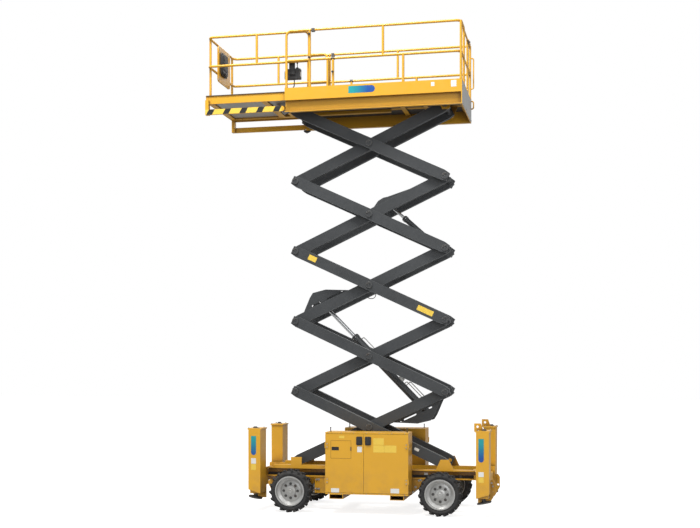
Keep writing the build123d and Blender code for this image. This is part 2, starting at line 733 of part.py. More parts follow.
# slanted lugs end at the tyre's side, and their corners at its full radius
slant = radians(lug_slant)
lug_half_turn = (lug_width * cos(slant) + lug_length * sin(slant)) / 2
lug_half_reach = (lug_length * cos(slant) + lug_width * sin(slant)) / 2
lug_top = sqrt((tyre_diameter / 2) ** 2 - lug_half_turn ** 2)
lug_row_y = half_width - 1 - lug_half_reach
corner_turn = degrees(atan2(lug_half_turn, lug_top))
hub_end = spindle_end_y - tyre_y + running_gap
for end_name, end in ENDS:
    for name, side in SIDES:
        centre = (scissor_x + end * wheel_base_half, side * tyre_y, wheel_z)
        wheel_plane = Plane(centre, x_dir=(0, 0, -1), z_dir=(0, side, 0))
        with BuildPart() as tyre:
            turned(wheel_plane,
                   [(bead_radius, -half_width + bead_depth), (sidewall_radius, -half_width),
                    (shoulder_radius, -half_width), (tread_radius, -half_width + shoulder_width),
                    (tread_radius, half_width - shoulder_width), (shoulder_radius, half_width),
                    (sidewall_radius, half_width), (bead_radius, half_width - bead_depth)])
            for row, start in ((-1, corner_turn), (1, corner_turn + 180 / lug_count)):
                with Locations(wheel_plane.offset(row * lug_row_y)):
                    with PolarLocations((shoulder_radius + lug_top) / 2, lug_count, start_angle=start):
                        Box(lug_top - shoulder_radius, lug_width, lug_length,
                            rotation=(row * lug_slant, 0, 0))
        tyre.part.label = f"tyre_{end_name}_{name}"
        export_step(tyre.part, f"parts/tyre_{end_name}_{name}.step")
        with BuildPart() as rim:
            # barrel with its lip, dish, raised bolt ring, hub with its cap, and back to the barrel
            turned(wheel_plane,
                   [(bead_radius - rim_wall, -half_width), (bead_radius, -half_width),
                    (bead_radius, half_width), (bead_radius - lip_width, half_width),
                    (bead_radius - lip_width - 4, half_width - lip_depth),
                    (groove_radius, groove_y), (ring_radius, ring_y),
                    (hub_radius + 17, ring_y), (hub_radius + 11, hub_end + 1),
                    (hub_radius - 17, hub_end + hub_cap), (0, hub_end + hub_cap), (0, hub_end),
                    (bore_radius, hub_end), (bore_radius, hub_end - hub_length),
                    (hub_radius, hub_end - hub_length), (hub_radius, ring_y - dish_thickness),
                    (ring_radius, ring_y - dish_thickness), (groove_radius, groove_y - dish_thickness - 2),
                    (bead_radius - rim_wall, half_width - lip_depth - dish_thickness + 4)])
            with Locations(wheel_plane.offset(ring_y)):
                with PolarLocations(dish_hole_circle, dish_holes):
                    Hole(dish_hole_diameter / 2, depth=dish_thickness + 6)
        rim.part.label = f"rim_{end_name}_{name}"
        export_step(rim.part, f"parts/rim_{end_name}_{name}.step")

# ------------------------------------------------------------------ outriggers
leg_y = column_outer_y - 130
neck_length = pad_neck_height + 20
neck_radius = 32
pad_radius = pad_diameter / 2
pad_end = neck_length + pad_thickness
for end_name, end in ENDS:
    column_x = column_front_x if end > 0 else column_rear_x
    for name, side in SIDES:
        low_x, high_x = column_x - column_width / 2, column_x + column_width / 2
        inner_x, outer_x = column_x - end * column_width / 2, column_x + end * column_width / 2
        hollow = leg_size / 2 + leg_gap
        with BuildPart() as column:
            profile(side_plane(side * column_outer_y),
                    [(inner_x, column_top_z), (outer_x, column_top_z),
                     (outer_x, column_bottom_z + column_slant), (inner_x, column_bottom_z)],
                    side * column_depth)
            block((low_x - cap_overhang, high_x + cap_overhang),
                  across(side, column_inner_y - cap_overhang, column_outer_y),
                  (column_top_z, column_top_z + cap_thickness))
            ring = hollow + collar_wall
            block(about(column_x, ring), about(side * leg_y, ring),
                  (column_bottom_z - 4, column_bottom_z + column_slant))
            block(about(column_x, hollow), about(side * leg_y, hollow), (0, column_top_z - 60),
                  mode=Mode.SUBTRACT)
            if end < 0:
                ear_low_x, ear_high_x = column_x, inner_x + ear_overhang
                ear_top_z = column_top_z + ear_height
                with BuildSketch(side_plane(side * (column_outer_y - column_depth / 2))) as ear:
                    with BuildLine():
                        Polyline((ear_low_x, column_top_z + cap_thickness - 1),
                                 (ear_high_x, column_top_z + 2), (ear_high_x, ear_top_z),
                                 (ear_low_x + 40, ear_top_z), close=True)
                    make_face()
                    with Locations((ear_high_x - 55, ear_top_z - 55)):
                        Circle(ear_hole_diameter / 2, mode=Mode.SUBTRACT)
                extrude(ear.sketch, amount=ear_thickness / 2, both=True)
        column.part.label = f"outrigger_{end_name}_{name}"
        export_step(column.part, f"parts/outrigger_{end_name}_{name}.step")
        with BuildPart() as leg:
            block((column_x - leg_size / 2, column_x + leg_size / 2),
                  across(side, leg_y - leg_size / 2, leg_y + leg_size / 2),
                  (leg_bottom_z + 40, leg_top_z))
            tilted = Plane((scissor_x + column_x, side * leg_y, leg_bottom_z + 60),
                           x_dir=(cos(radians(pad_tilt)), 0, end * sin(radians(pad_tilt))),
                           z_dir=(end * sin(radians(pad_tilt)), 0, -cos(radians(pad_tilt))))
            turned(tilted, [(0, 0), (neck_radius, 0), (neck_radius, neck_length - 26),
                            (2 * neck_radius, neck_length), (pad_radius, neck_length),
                            (pad_radius, pad_end - 6), (pad_radius - 6, pad_end), (0, pad_end)])
            for strut_y in (-pad_strut_y, pad_strut_y):
                disc(tilted, (0, strut_y), pad_strut_diameter, neck_length + 2)
        leg.part.label = f"leg_{end_name}_{name}"
        export_step(leg.part, f"parts/leg_{end_name}_{name}.step")

# ------------------------------------------------------------------ main deck
half_deck = deck_width / 2
channel_web_y = half_deck - side_channel_recess
channel_top_z = floor_bottom_z
channel_bottom_z = channel_top_z - side_channel_height
inner_arm_face_y = inner_arm_y + arm_width / 2
track_front = deck_front + track_overhang
rear_post_x = scissor_x - deck_rear + rail_tube / 2
floor_beams = (-1540, -900, -500)
floor_beam_width = 80
floor_beam_depth = 30
with BuildPart() as deck:
    block((-deck_rear, deck_front), (-channel_web_y, channel_web_y), (floor_bottom_z, deck_top_z))
    for _, side in SIDES:
        web = across(side, channel_web_y, channel_web_y - side_channel_wall)
        block((-deck_rear, deck_front), web, (channel_bottom_z, floor_bottom_z + 1))
        flange = across(side, channel_web_y - side_channel_wall, half_deck)
        for low in (channel_bottom_z, channel_top_z - side_channel_wall):
            block((-deck_rear, deck_front), flange, (low, low + side_channel_wall))
        board = across(side, half_deck - toe_board_thickness, half_deck)
        block((-deck_rear, deck_front), board, (channel_top_z - 2, board_top_z))
        track = across(side, inner_arm_y - arm_width / 2, inner_arm_face_y)
        block((-track_rear, track_front), track, (track_z, floor_bottom_z))
        block((deck_front, track_front), track, (track_z, deck_top_z - 10))
        lug_y = side * (inner_arm_face_y + pin_head_gap)
        with BuildSketch(side_plane(lug_y)) as lug:
            with BuildLine():
                Polyline((-half_span - 130, floor_bottom_z + 2), (-half_span - 60, top_pin_z - 70),
                         (-half_span + 60, top_pin_z - 70), (-half_span + 130, floor_bottom_z + 2),
                         close=True)
            make_face()
            with Locations((-half_span, top_pin_z)):
                Circle(pin_diameter / 2 + pin_clearance, mode=Mode.SUBTRACT)
        extrude(lug.sketch, amount=-side * lug_plate)
    for beam_x in floor_beams:
        block(about(beam_x, floor_beam_width / 2), (-channel_web_y, channel_web_y),
              (floor_bottom_z - floor_beam_depth, floor_bottom_z + 1))
    for tie_x in (track_front - track_tie, track_front - 4 * track_tie):
        block((tie_x, tie_x + track_tie), (-inner_arm_face_y, inner_arm_face_y), (track_z, floor_bottom_z))
    block((-deck_rear, -deck_rear + toe_board_thickness), (-half_deck, half_deck),
          (channel_bottom_z, board_top_z))
    grab_handle(scissor_x - deck_rear + 2, *board_grab)
deck.part.label = "main_deck"
export_step(deck.part, "parts/main_deck.step")

# ------------------------------------------------------------------ guardrails and gate
front_post_x = scissor_x + deck_front - 28
gate_pin_y = gate_half - rail_tube / 2 - gate_gap - gate_tube / 2
gate_lug_height = 30
gate_low_z = deck_top_z + gate_lift
# posts of each side: place along X, lower end, upper end
side_posts = (
    (rear_post_x, board_top_z, top_rail_z),
    (scissor_x + lower_post_rear, board_top_z, mid_rail_z),
    (scissor_x + upper_post_x, mid_rail_z, top_rail_z),
    (scissor_x + lower_post_front, board_top_z, mid_rail_z),
    (scissor_x + hoop_x, board_top_z, top_rail_z),
)
with BuildPart() as rails:
    for _, side in SIDES:
        y = side * main_rail_y
        gate_y = side * gate_half
        tube_run([(rear_post_x, gate_y, board_top_z), (rear_post_x, gate_y, top_rail_z),
                  (rear_post_x, y, top_rail_z), (front_post_x, y, top_rail_z),
                  (front_post_x, y, board_top_z)], rail_corner, rail_tube)
        tube_run([(rear_post_x, gate_y, mid_rail_z), (rear_post_x, y, mid_rail_z),
                  (front_post_x, y, mid_rail_z)], rail_corner, rail_tube)
        for post_x, low_z, high_z in side_posts:
            tube_run([(post_x, y, low_z), (post_x, y, high_z)], rail_corner, rail_tube)
    grab_handle(rear_post_x, *post_grab)
    for lug_z in (deck_top_z + gate_lug_lift, top_rail_z - gate_lug_drop):
        lug_x = rear_post_x - scissor_x
        block((lug_x - 12, lug_x + 12), (gate_pin_y, gate_half), (lug_z, lug_z + gate_lug_height))
        disc(level_plane(lug_z), (lug_x, gate_pin_y), gate_tube + 16, gate_lug_height)
        disc(level_plane(lug_z), (lug_x, gate_pin_y), gate_tube + 2 * pin_clearance,
             gate_lug_height, Mode.SUBTRACT)
rails.part.label = "main_guardrail"
export_step(rails.part, "parts/main_guardrail.step")

with BuildPart() as gate:
    half = gate_pin_y
    gate_top_z = top_rail_z - 20
    with BuildLine() as path:
        FilletPolyline((rear_post_x, -half, gate_low_z), (rear_post_x, -half, gate_top_z),
                       (rear_post_x, half, gate_top_z), (rear_post_x, half, gate_low_z),
                       radius=gate_corner, close=True)
    with BuildSketch(Plane((rear_post_x, 0, gate_low_z), x_dir=(1, 0, 0), z_dir=(0, 1, 0))):
        Circle(gate_tube / 2)
    sweep(path=path.line)
    tube_run([(rear_post_x, -half, mid_rail_z), (rear_post_x, half, mid_rail_z)], 10, gate_tube)
gate.part.label = "entry_gate"
export_step(gate.part, "parts/entry_gate.step")

# ------------------------------------------------------------------ extension deck
frame_low_z = deck_top_z + slide_gap
frame_top_z = frame_low_z + extension_frame
floor_z = frame_top_z + extension_sheet
side_member = 110
cross_member = 100
cross_members = (extension_rear + 50, 1800, extension_front - 50)
front_plate = 16
bar_outer_y = half_deck - 4
bar_front_block = 60
extension_board_z = channel_top_z + extension_board_height
with BuildPart() as extension:
    block((extension_rear, extension_front), (-channel_web_y, channel_web_y), (frame_top_z, floor_z))
    for _, side in SIDES:
        member_y = across(side, channel_web_y - side_member, channel_web_y)
        block((extension_rear, extension_front), member_y, (frame_low_z, frame_top_z + 1))
        board = across(side, channel_web_y, channel_web_y + extension_board)
        block((extension_rear, extension_front), board, (channel_top_z + slide_gap, extension_board_z))
        lip = across(side, channel_web_y, channel_web_y + extension_board + board_lip)
        block((extension_rear, extension_front), lip, (extension_board_z - board_lip, extension_board_z))
        # bar that slides in the side channel, rounded at its rear end
        bar_low_z, bar_high_z = lower_bar_z - lower_bar_height / 2, lower_bar_z + lower_bar_height / 2
        bar_rear = deck_front + 6 + lower_bar_height / 2
        bar = across(side, bar_outer_y, bar_outer_y - lower_bar_width)
        block((bar_rear, extension_front), bar, (bar_low_z, bar_high_z))
        disc(side_plane(side * bar_outer_y), (bar_rear, lower_bar_z), lower_bar_height,
             side * lower_bar_width)
        block((extension_front - bar_front_block, extension_front),
              across(side, channel_web_y - 20, bar_outer_y), (bar_low_z, floor_z))
    for beam_x in cross_members:
        block((beam_x - cross_member / 2, beam_x + cross_member / 2), (-channel_web_y, channel_web_y),
              (frame_low_z, frame_top_z + 1))
    block((extension_rear, extension_front), (-75, 75), (frame_low_z, frame_top_z + 1))
    block((extension_front - front_plate, extension_front), (-channel_web_y, channel_web_y),
          (frame_low_z, extension_board_z))
extension.part.label = "extension_deck"
export_step(extension.part, "parts/extension_deck.step")

with BuildPart() as front_rails:
    front_x = scissor_x + extension_front - front_plate - 1 - rail_tube / 2
    back_x = scissor_x + extension_rear + 20
    y = extension_rail_y
    tube_run([(back_x, y, floor_z), (back_x, y, top_rail_z), (front_x, y, top_rail_z),
              (front_x, -y, top_rail_z), (back_x, -y, top_rail_z), (back_x, -y, floor_z)],
             rail_corner, rail_tube)
    tube_run([(back_x, y, mid_rail_z), (front_x, y, mid_rail_z), (front_x, -y, mid_rail_z),
              (back_x, -y, mid_rail_z)], 60, rail_tube)
    for _, side in SIDES:
        corner_y = side * (y - rail_corner)
        tube_run([(front_x, corner_y, floor_z), (front_x, corner_y, top_rail_z)], rail_corner, rail_tube)
        post_x = scissor_x + upper_post_front
        tube_run([(post_x, side * y, mid_rail_z), (post_x, side * y, top_rail_z)], rail_corner, rail_tube)
front_rails.part.label = "extension_guardrail"
export_step(front_rails.part, "parts/extension_guardrail.step")

console_y = extension_rail_y - console_gap
console_slope = 45
with BuildPart() as control_box:
    low_z, high_z = deck_top_z + console_low, deck_top_z + console_low + console_height
    profile(side_plane(console_y),
            [(console_rear, low_z), (console_front, low_z), (console_front, high_z - console_slope),
             (console_front - console_slope, high_z), (console_rear, high_z)], console_depth)
    hanger_x = (console_rear + console_front) / 2
    block((hanger_x - 50, hanger_x + 50), (console_y - 1, extension_rail_y - rail_tube / 2),
          (high_z - 100, mid_rail_z + 20))
control_box.part.label = "control_box"
export_step(control_box.part, "parts/control_box.step")

with BuildPart() as panel:
    panel_x = extension_front - front_plate - 1 - rail_tube
    with BuildSketch(cross_plane(panel_x)) as sheet:
        with Locations(((panel_left - panel_right) / 2, deck_top_z + panel_low + panel_height / 2)):
            RectangleRounded(panel_left + panel_right, panel_height, panel_corner)
    extrude(sheet.sketch, amount=-panel_thickness)
panel.part.label = "front_panel"
export_step(panel.part, "parts/front_panel.step")
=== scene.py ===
import json
from contextlib import contextmanager
from itertools import product
from math import atan2, cos, pi, radians, sin

import bmesh
import bpy
from bpy.props import FloatProperty, FloatVectorProperty, IntProperty, PointerProperty
from bpy.types import Operator, Panel, PropertyGroup
from mathutils import Matrix, Vector


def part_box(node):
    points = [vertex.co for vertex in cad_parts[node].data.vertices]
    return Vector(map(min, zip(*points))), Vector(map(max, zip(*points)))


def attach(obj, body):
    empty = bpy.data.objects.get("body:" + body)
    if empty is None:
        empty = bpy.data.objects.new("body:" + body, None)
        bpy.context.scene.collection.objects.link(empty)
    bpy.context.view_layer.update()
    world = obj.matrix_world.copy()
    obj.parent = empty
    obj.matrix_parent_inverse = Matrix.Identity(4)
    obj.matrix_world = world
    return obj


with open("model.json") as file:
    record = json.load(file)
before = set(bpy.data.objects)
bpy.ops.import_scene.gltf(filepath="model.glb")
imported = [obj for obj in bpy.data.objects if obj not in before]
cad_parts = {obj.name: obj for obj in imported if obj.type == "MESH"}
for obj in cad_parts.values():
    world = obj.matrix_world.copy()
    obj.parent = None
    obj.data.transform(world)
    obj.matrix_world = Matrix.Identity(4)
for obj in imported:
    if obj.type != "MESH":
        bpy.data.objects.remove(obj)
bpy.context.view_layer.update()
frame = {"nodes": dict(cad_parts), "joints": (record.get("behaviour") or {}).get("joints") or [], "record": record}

bl_info = {
    "name": "Scissor Lift Dresser",
    "version": (1, 0, 0),
    "blender": (4, 5, 0),
    "location": "View3D > Sidebar > Lift",
    "description": "Finishes, fittings, labels and studio for a packed five-stage scissor lift",
    "category": "Object",
}

SIDES = (("left", 1), ("right", -1))
ENDS = (("front", 1), ("rear", -1))
CORNERS = tuple((f"{end}_{side_name}", side) for end, _ in ENDS for side_name, side in SIDES)
STAGES = 5
X, Y, Z = Vector((1, 0, 0)), Vector((0, 1, 0)), Vector((0, 0, 1))

# metres: how far labels and seams stand out, and how deep a fitting's foot sits in its surface
FILM, SEAM, SINK = 0.0012, 0.0008, 0.0005
# vertices closer than this are one, in metres
MERGED = 1e-6
# angles from which an edge is sharp, and from which a bevel rounds it
SHARP_EDGE, ROUNDED_EDGE = radians(35), radians(40)
# hexagon bolts by their size across flats, in metres
M5, M6, M8, M12, M14, M16, M20 = 0.008, 0.010, 0.013, 0.019, 0.022, 0.024, 0.030
SHEET_BOLT = 0.014


# ------------------------------------------------------------------ the frame's own measures
def low(node):
    """Lower corner of a node's box."""
    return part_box(node)[0]


def high(node):
    """Upper corner of a node's box."""
    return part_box(node)[1]


def middle(node):
    """Centre of a node's box."""
    return (low(node) + high(node)) / 2


def outer_y(node, side):
    """Y of a node's face on a side."""
    return high(node).y if side > 0 else low(node).y


def joint(name):
    """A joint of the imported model."""
    return next(row for row in frame["joints"] if row["name"] == name)


class Stack:
    """The scissor's pins at rest, worked out from its two lowest joints."""
    foot = Vector(joint("lift")["pos_m"])
    centre = Vector(joint("inner_arm_1_pivot")["pos_m"])
    rise = 2 * (centre.z - foot.z)
    slope = atan2(rise / 2, centre.x - foot.x)
    half_arm = Vector((centre.x - foot.x, 0, rise / 2)).length
    arm_half_height = high("inner_arm_5").z - (foot.z + STAGES * rise)
    inner_arm_face = high("outer_arm_2").y - 0.195

    @classmethod
    def arm_frame(cls, kind, stage, y):
        """Matrix of an arm: X along it and upwards, Z square above it, Y to the machine's left."""
        lean = 1 if kind == "outer" else -1
        along = Vector((lean * cos(cls.slope), 0, sin(cls.slope)))
        above = Vector((-lean * sin(cls.slope), 0, cos(cls.slope)))
        return frame_of(along, Y, above, (cls.centre.x, y, cls.foot.z + (stage - 0.5) * cls.rise))


class Platform:
    """Places on the platform that no node's box gives, from the faces of the main deck."""
    half = high("main_deck").y
    board_top = high("main_deck").z
    channel_bottom = low("main_deck").z
    floor = board_top - 0.175
    extension_floor = floor + 0.040
    rear_face = Stack.centre.x - 1.616
    bar_face = half - 0.004
    bar_middle = floor - 0.167
    board_inner = half - 0.065
    lip_face = board_inner + 0.028
    lip_middle = extension_floor + 0.079
    rail_y = half - 0.022
    top_rail = high("main_guardrail").z - 0.021
    mid_rail = top_rail - 0.500
    hoop_x = Stack.centre.x + 0.952
    upper_post_x = Stack.centre.x + 0.550
    feet = tuple(Stack.centre.x + ahead for ahead in (-1.595, -0.640, 0.550, 0.952, 1.358))
    extension_feet = ((Stack.centre.x + 0.980, 0.683), (high("extension_deck").x - 0.038, 0.593))
    console = (Stack.centre.x + 1.150, 0.540, floor + 0.360)
    console_size = (0.225, 0.100, 0.168)


# ------------------------------------------------------------------ frames to build in
def frame_of(x_axis, y_axis, z_axis, place):
    """Matrix of three axes at a place."""
    made = Matrix((x_axis, y_axis, z_axis)).transposed().to_4x4()
    made.translation = place
    return made


def out_frame(place, out, up=Z):
    """Matrix at a place whose Y looks outwards and whose Z is up."""
    depth = Vector(out).normalized()
    side = depth.cross(Vector(up)).normalized()
    return frame_of(side, depth, side.cross(depth), place)


def axis_frame(place, axis):
    """Matrix at a place whose Z runs along an axis."""
    made = Vector(axis).to_track_quat("Z", "Y").to_matrix().to_4x4()
    made.translation = place
    return made


def moved(place, x=0.0, y=0.0, z=0.0):
    """A frame moved along its own axes."""
    return place @ Matrix.Translation((x, y, z))


def ahead_of_stack(ahead, y, z):
    """Place given by its distance ahead of the stack's middle."""
    return Vector((Stack.centre.x + ahead, y, z))


def ring_of(centre, radius, count, start=0.0, across=X, up=Z):
    """Places spread evenly round a centre, in the plane of two directions."""
    turns = [start + 2 * pi * i / count for i in range(count)]
    return [centre + across * (radius * cos(turn)) + up * (radius * sin(turn)) for turn in turns]


def ring_in(place, radius, count, start=0.0):
    """Places spread evenly round the Z of a frame."""
    return [place @ point for point in ring_of(Vector(), radius, count, start, up=Y)]


def facing(places, out):
    """Spots for bolts that all face one way."""
    return [(place, out) for place in places]


# ------------------------------------------------------------------ meshes and pieces
def closed_mesh(name, build):
    """Mesh of a bmesh whose faces look outwards."""
    bmesh.ops.recalc_face_normals(build, faces=build.faces)
    mesh = bpy.data.meshes.new(name)
    build.to_mesh(mesh)
    build.free()
    return mesh


def mesh_object(name, mesh, material):
    """A new object of a mesh, smooth between its sharp edges."""
    if not mesh.materials:
        mesh.materials.append(material)
    made = bpy.data.objects.new(name, mesh)
    bpy.context.scene.collection.objects.link(made)
    mesh.shade_smooth()
    mesh.set_sharp_from_angle(angle=SHARP_EDGE)
    return made


@contextmanager
def piece(name, paint, body, bevel=0.0):
    """A bmesh to fill, which is a finished piece on its body when the block ends."""
    build = bmesh.new()
    yield build
    bmesh.ops.remove_doubles(build, verts=build.verts, dist=MERGED)
    made = mesh_object(name, closed_mesh(name, build), finish(paint))
    if bevel:
        rounding = made.modifiers.new("rounded edges", "BEVEL")
        rounding.width = bevel
        rounding.segments = 2
        rounding.limit_method = "ANGLE"
        rounding.angle_limit = ROUNDED_EDGE
    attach(made, body)


def settle(name, maker, material, body):
    """Turn an object with its modifiers or bevel into a plain mesh that rides on a body."""
    if not maker.users_collection:
        bpy.context.scene.collection.objects.link(maker)
    bpy.context.view_layer.update()
    graph = bpy.context.evaluated_depsgraph_get()
    mesh = bpy.data.meshes.new_from_object(maker.evaluated_get(graph), depsgraph=graph)
    maker.modifiers.clear()
    bpy.data.objects.remove(maker)
    mesh.name = name
    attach(mesh_object(name, mesh, material), body)


def add_box(build, one, other, place=Matrix()):
    """Box between two opposite corners, in a frame of its own."""
    spans = [sorted(pair) for pair in zip(one, other)]
    verts = [build.verts.new(place @ Vector(corner)) for corner in product(*spans)]
    for quad in ((0, 1, 3, 2), (4, 6, 7, 5), (0, 4, 5, 1), (2, 3, 7, 6), (0, 2, 6, 4), (1, 5, 7, 3)):
        build.faces.new([verts[i] for i in quad])


def add_prism(build, outline, near, far, place=Matrix()):
    """Plate of an outline in X and Z, between two depths in Y, in a frame of its own."""
    front, back = ([build.verts.new(place @ Vector((x, y, z))) for x, z in outline] for y in (near, far))
    build.faces.new(front)
    build.faces.new(reversed(back))
    for i in range(len(outline)):
        j = (i + 1) % len(outline)
        build.faces.new((front[j], front[i], back[i], back[j]))


def add_turned(build, profile, place, steps=24):
    """Turn a named or given half section round Z: a ring where neither end is on the axis."""
    profile, rows = PROFILES.get(profile, profile), []
    for radius, height in profile:
        level = moved(place, z=height)
        points = ring_in(level, radius, steps) if radius else [level.translation]
        rows.append([build.verts.new(point) for point in points])
    pairs = list(zip(rows, rows[1:]))
    if profile[0][0] and profile[-1][0]:
        pairs.append((rows[-1], rows[0]))
    for one, two in pairs:
        for step in range(steps):
            after = (step + 1) % steps
            corners = (one[step % len(one)], one[after % len(one)],
                       two[after % len(two)], two[step % len(two)])
            corners = list(dict.fromkeys(corners))
            if len(corners) > 2:
                build.faces.new(corners)


def rounded(width, height, radius, steps=4):
    """Outline of a rectangle with round corners, about its middle."""
    points = []
    for corner, (sx, sz) in enumerate(((1, 1), (-1, 1), (-1, -1), (1, -1))):
        for step in range(steps + 1):
            turn = (corner + step / steps) * pi / 2
            points.append((sx * (width / 2 - radius) + radius * cos(turn),
                           sz * (height / 2 - radius) + radius * sin(turn)))
    return points


def half_round(width, height, steps=10):
    """Outline of a strip with square upper corners and a round lower end, about its middle."""
    radius, turns = width / 2, [pi * step / steps for step in range(steps + 1)]
    return [(-radius, height / 2), (radius, height / 2)] + [
        (radius * cos(turn), radius - height / 2 - radius * sin(turn)) for turn in turns]


def add_plate(build, place, width, height, thickness, radius=0.006, sink=SINK):
    """Thin plate with round corners on a surface, given by a frame whose Y looks out of it."""
    outline = rounded(width, height, min(radius, width / 2.1, height / 2.1))
    add_prism(build, outline, -sink, thickness, place)


def label(name, place, width, height, paint, body, radius=0.006):
    """Blank plate or film as a piece of its own."""
    with piece(name, paint, body) as build:
        add_plate(build, place, width, height, FILM, radius)


def patch(name, place, width, height, paint, body):
    """Coloured film with one round end as a piece of its own."""
    with piece(name, paint, body) as build:
        add_prism(build, half_round(width, height), -SINK, FILM, place)


def pipe(name, points, radius, paint, body):
    """Round pipe or hose along a smooth line, as a plain mesh."""
    curve = bpy.data.curves.new(name, "CURVE")
    curve.dimensions = "3D"
    curve.bevel_depth = radius
    curve.bevel_resolution = 3
    curve.resolution_u = 8
    curve.use_fill_caps = True
    line = curve.splines.new("NURBS")
    line.points.add(len(points) - 1)
    for point, place in zip(line.points, points):
        point.co = (*place, 1)
    line.use_endpoint_u = True
    line.order_u = 3
    settle(name, bpy.data.objects.new(name, curve), finish(paint), body)


# half sections of the turned fittings, as radius and height in millimetres
HALF_SECTIONS = {
    "hub cap": ((0, -1), (30, -1), (30, 6), (26, 9), (20, 9), (18, 3), (0, 3)),
    "tyre valve": ((0, -30), (5, -30), (5, 12), (7, 14), (7, 24), (0, 26)),
    "sidewall ridge": ((0, -1), (1.6, 0.2), (3.4, 0.2), (5, -1)),
    "pin rim": ((49, -1), (53, -1), (50, 2.5), (47, 2.5)),
    "grease nipple": ((0, -1), (6, -1), (6, 5), (3, 7), (3, 10), (4, 12), (0, 13)),
    "valve block stud": ((0, 20), (13, 20), (13, 34), (8, 36), (8, 48), (0, 48)),
    "latch lock": ((0, -1), (12, -1), (12, 6), (9, 8), (0, 8)),
    "lifting pin": ((0, -1), (17, -1), (17, 4), (8, 6), (8, 60), (12, 62), (12, 70), (9, 73), (0, 74)),
    "ram nut": ((0, -1), (45, -1), (45, 8), (30, 12), (30, 22), (24, 26), (0, 26)),
    "post collar": ((20.5, 0), (24.5, 0), (24.5, 28), (22.5, 30), (20.5, 30)),
    "guide roller": ((0, 0), (21.6, 0), (24, 3), (24, 27), (21.6, 30), (10, 30), (10, 34), (0, 34)),
    "rail clamp": ((20.5, -30), (25.5, -28), (25.5, 28), (20.5, 30)),
    "rail knob": ((0, -4), (8, -4), (8, 10), (17, 12), (19, 18), (19, 30), (15, 34), (0, 35)),
    "foot collar": ((20.5, 0), (26, 0), (26, 30), (23.5, 33), (20.5, 33)),
    "gate knob": ((0, 0), (7, 0), (7, 14), (14, 18), (14, 28), (10, 32), (0, 33)),
    "stop button": ((0, 0), (16, 0), (16, 14), (24, 18), (26, 26), (21, 33), (0, 36)),
    "stop collar": ((17, 0), (31, 0), (31, 4), (29, 6), (17, 6)),
    "toggle switch": ((0, -1), (9, -1), (9, 3), (6, 5), (3, 6), (3, 18), (4.5, 21), (0, 23)),
    "box gland": ((0, 6), (16, 6), (16, -12), (12, -18), (0, -18)),
    "floor gland": ((0, 0), (17, 0), (17, 14), (12, 18), (0, 18)),
}
PROFILES = {name: tuple((radius / 1000, height / 1000) for radius, height in section)
            for name, section in HALF_SECTIONS.items()}


# ------------------------------------------------------------------ settings
class LiftColours(PropertyGroup):
    paint: FloatVectorProperty(
        name="Body paint", description="Paint of chassis, cabinets, deck and rails",
        subtype="COLOR", size=3, min=0, max=1, default=(0.70, 0.365, 0.020))
    arm_paint: FloatVectorProperty(
        name="Arm paint", description="Satin paint of the scissor arms",
        subtype="COLOR", size=3, min=0, max=1, default=(0.040, 0.043, 0.046))
    rim_paint: FloatVectorProperty(
        name="Rim paint", description="Silver of the wheel rims",
        subtype="COLOR", size=3, min=0, max=1, default=(0.48, 0.48, 0.47))
    rubber: FloatVectorProperty(
        name="Rubber", description="Tyres and hoses",
        subtype="COLOR", size=3, min=0, max=1, default=(0.020, 0.020, 0.021))
    steel: FloatVectorProperty(
        name="Bare steel", description="Axles, legs and fittings",
        subtype="COLOR", size=3, min=0, max=1, default=(0.09, 0.088, 0.085))
    zinc: FloatVectorProperty(
        name="Zinc", description="Galvanised plate",
        subtype="COLOR", size=3, min=0, max=1, default=(0.50, 0.50, 0.48))


class StudioSettings(PropertyGroup):
    aim_ahead: FloatProperty(
        name="Aim ahead", description="Where the camera's axis crosses, ahead of the stack's middle",
        unit="LENGTH", default=0.418)
    distance: FloatProperty(
        name="Distance", description="From that point to the camera", unit="LENGTH", default=18.894)
    turn: FloatProperty(
        name="Turn", description="Of the camera towards the machine's rear",
        subtype="ANGLE", default=radians(12.0))
    eye_height: FloatProperty(
        name="Eye height", description="Of the camera above the ground", unit="LENGTH", default=2.477)
    focal_length: FloatProperty(
        name="Focal length", description="Of the camera's lens, in mm", default=55.8)
    rise: FloatProperty(
        name="Lens shift", description="Upwards, as a share of the picture's width", default=0.1443)


def colours():
    """The scene's colour settings."""
    return bpy.context.scene.lift_colours


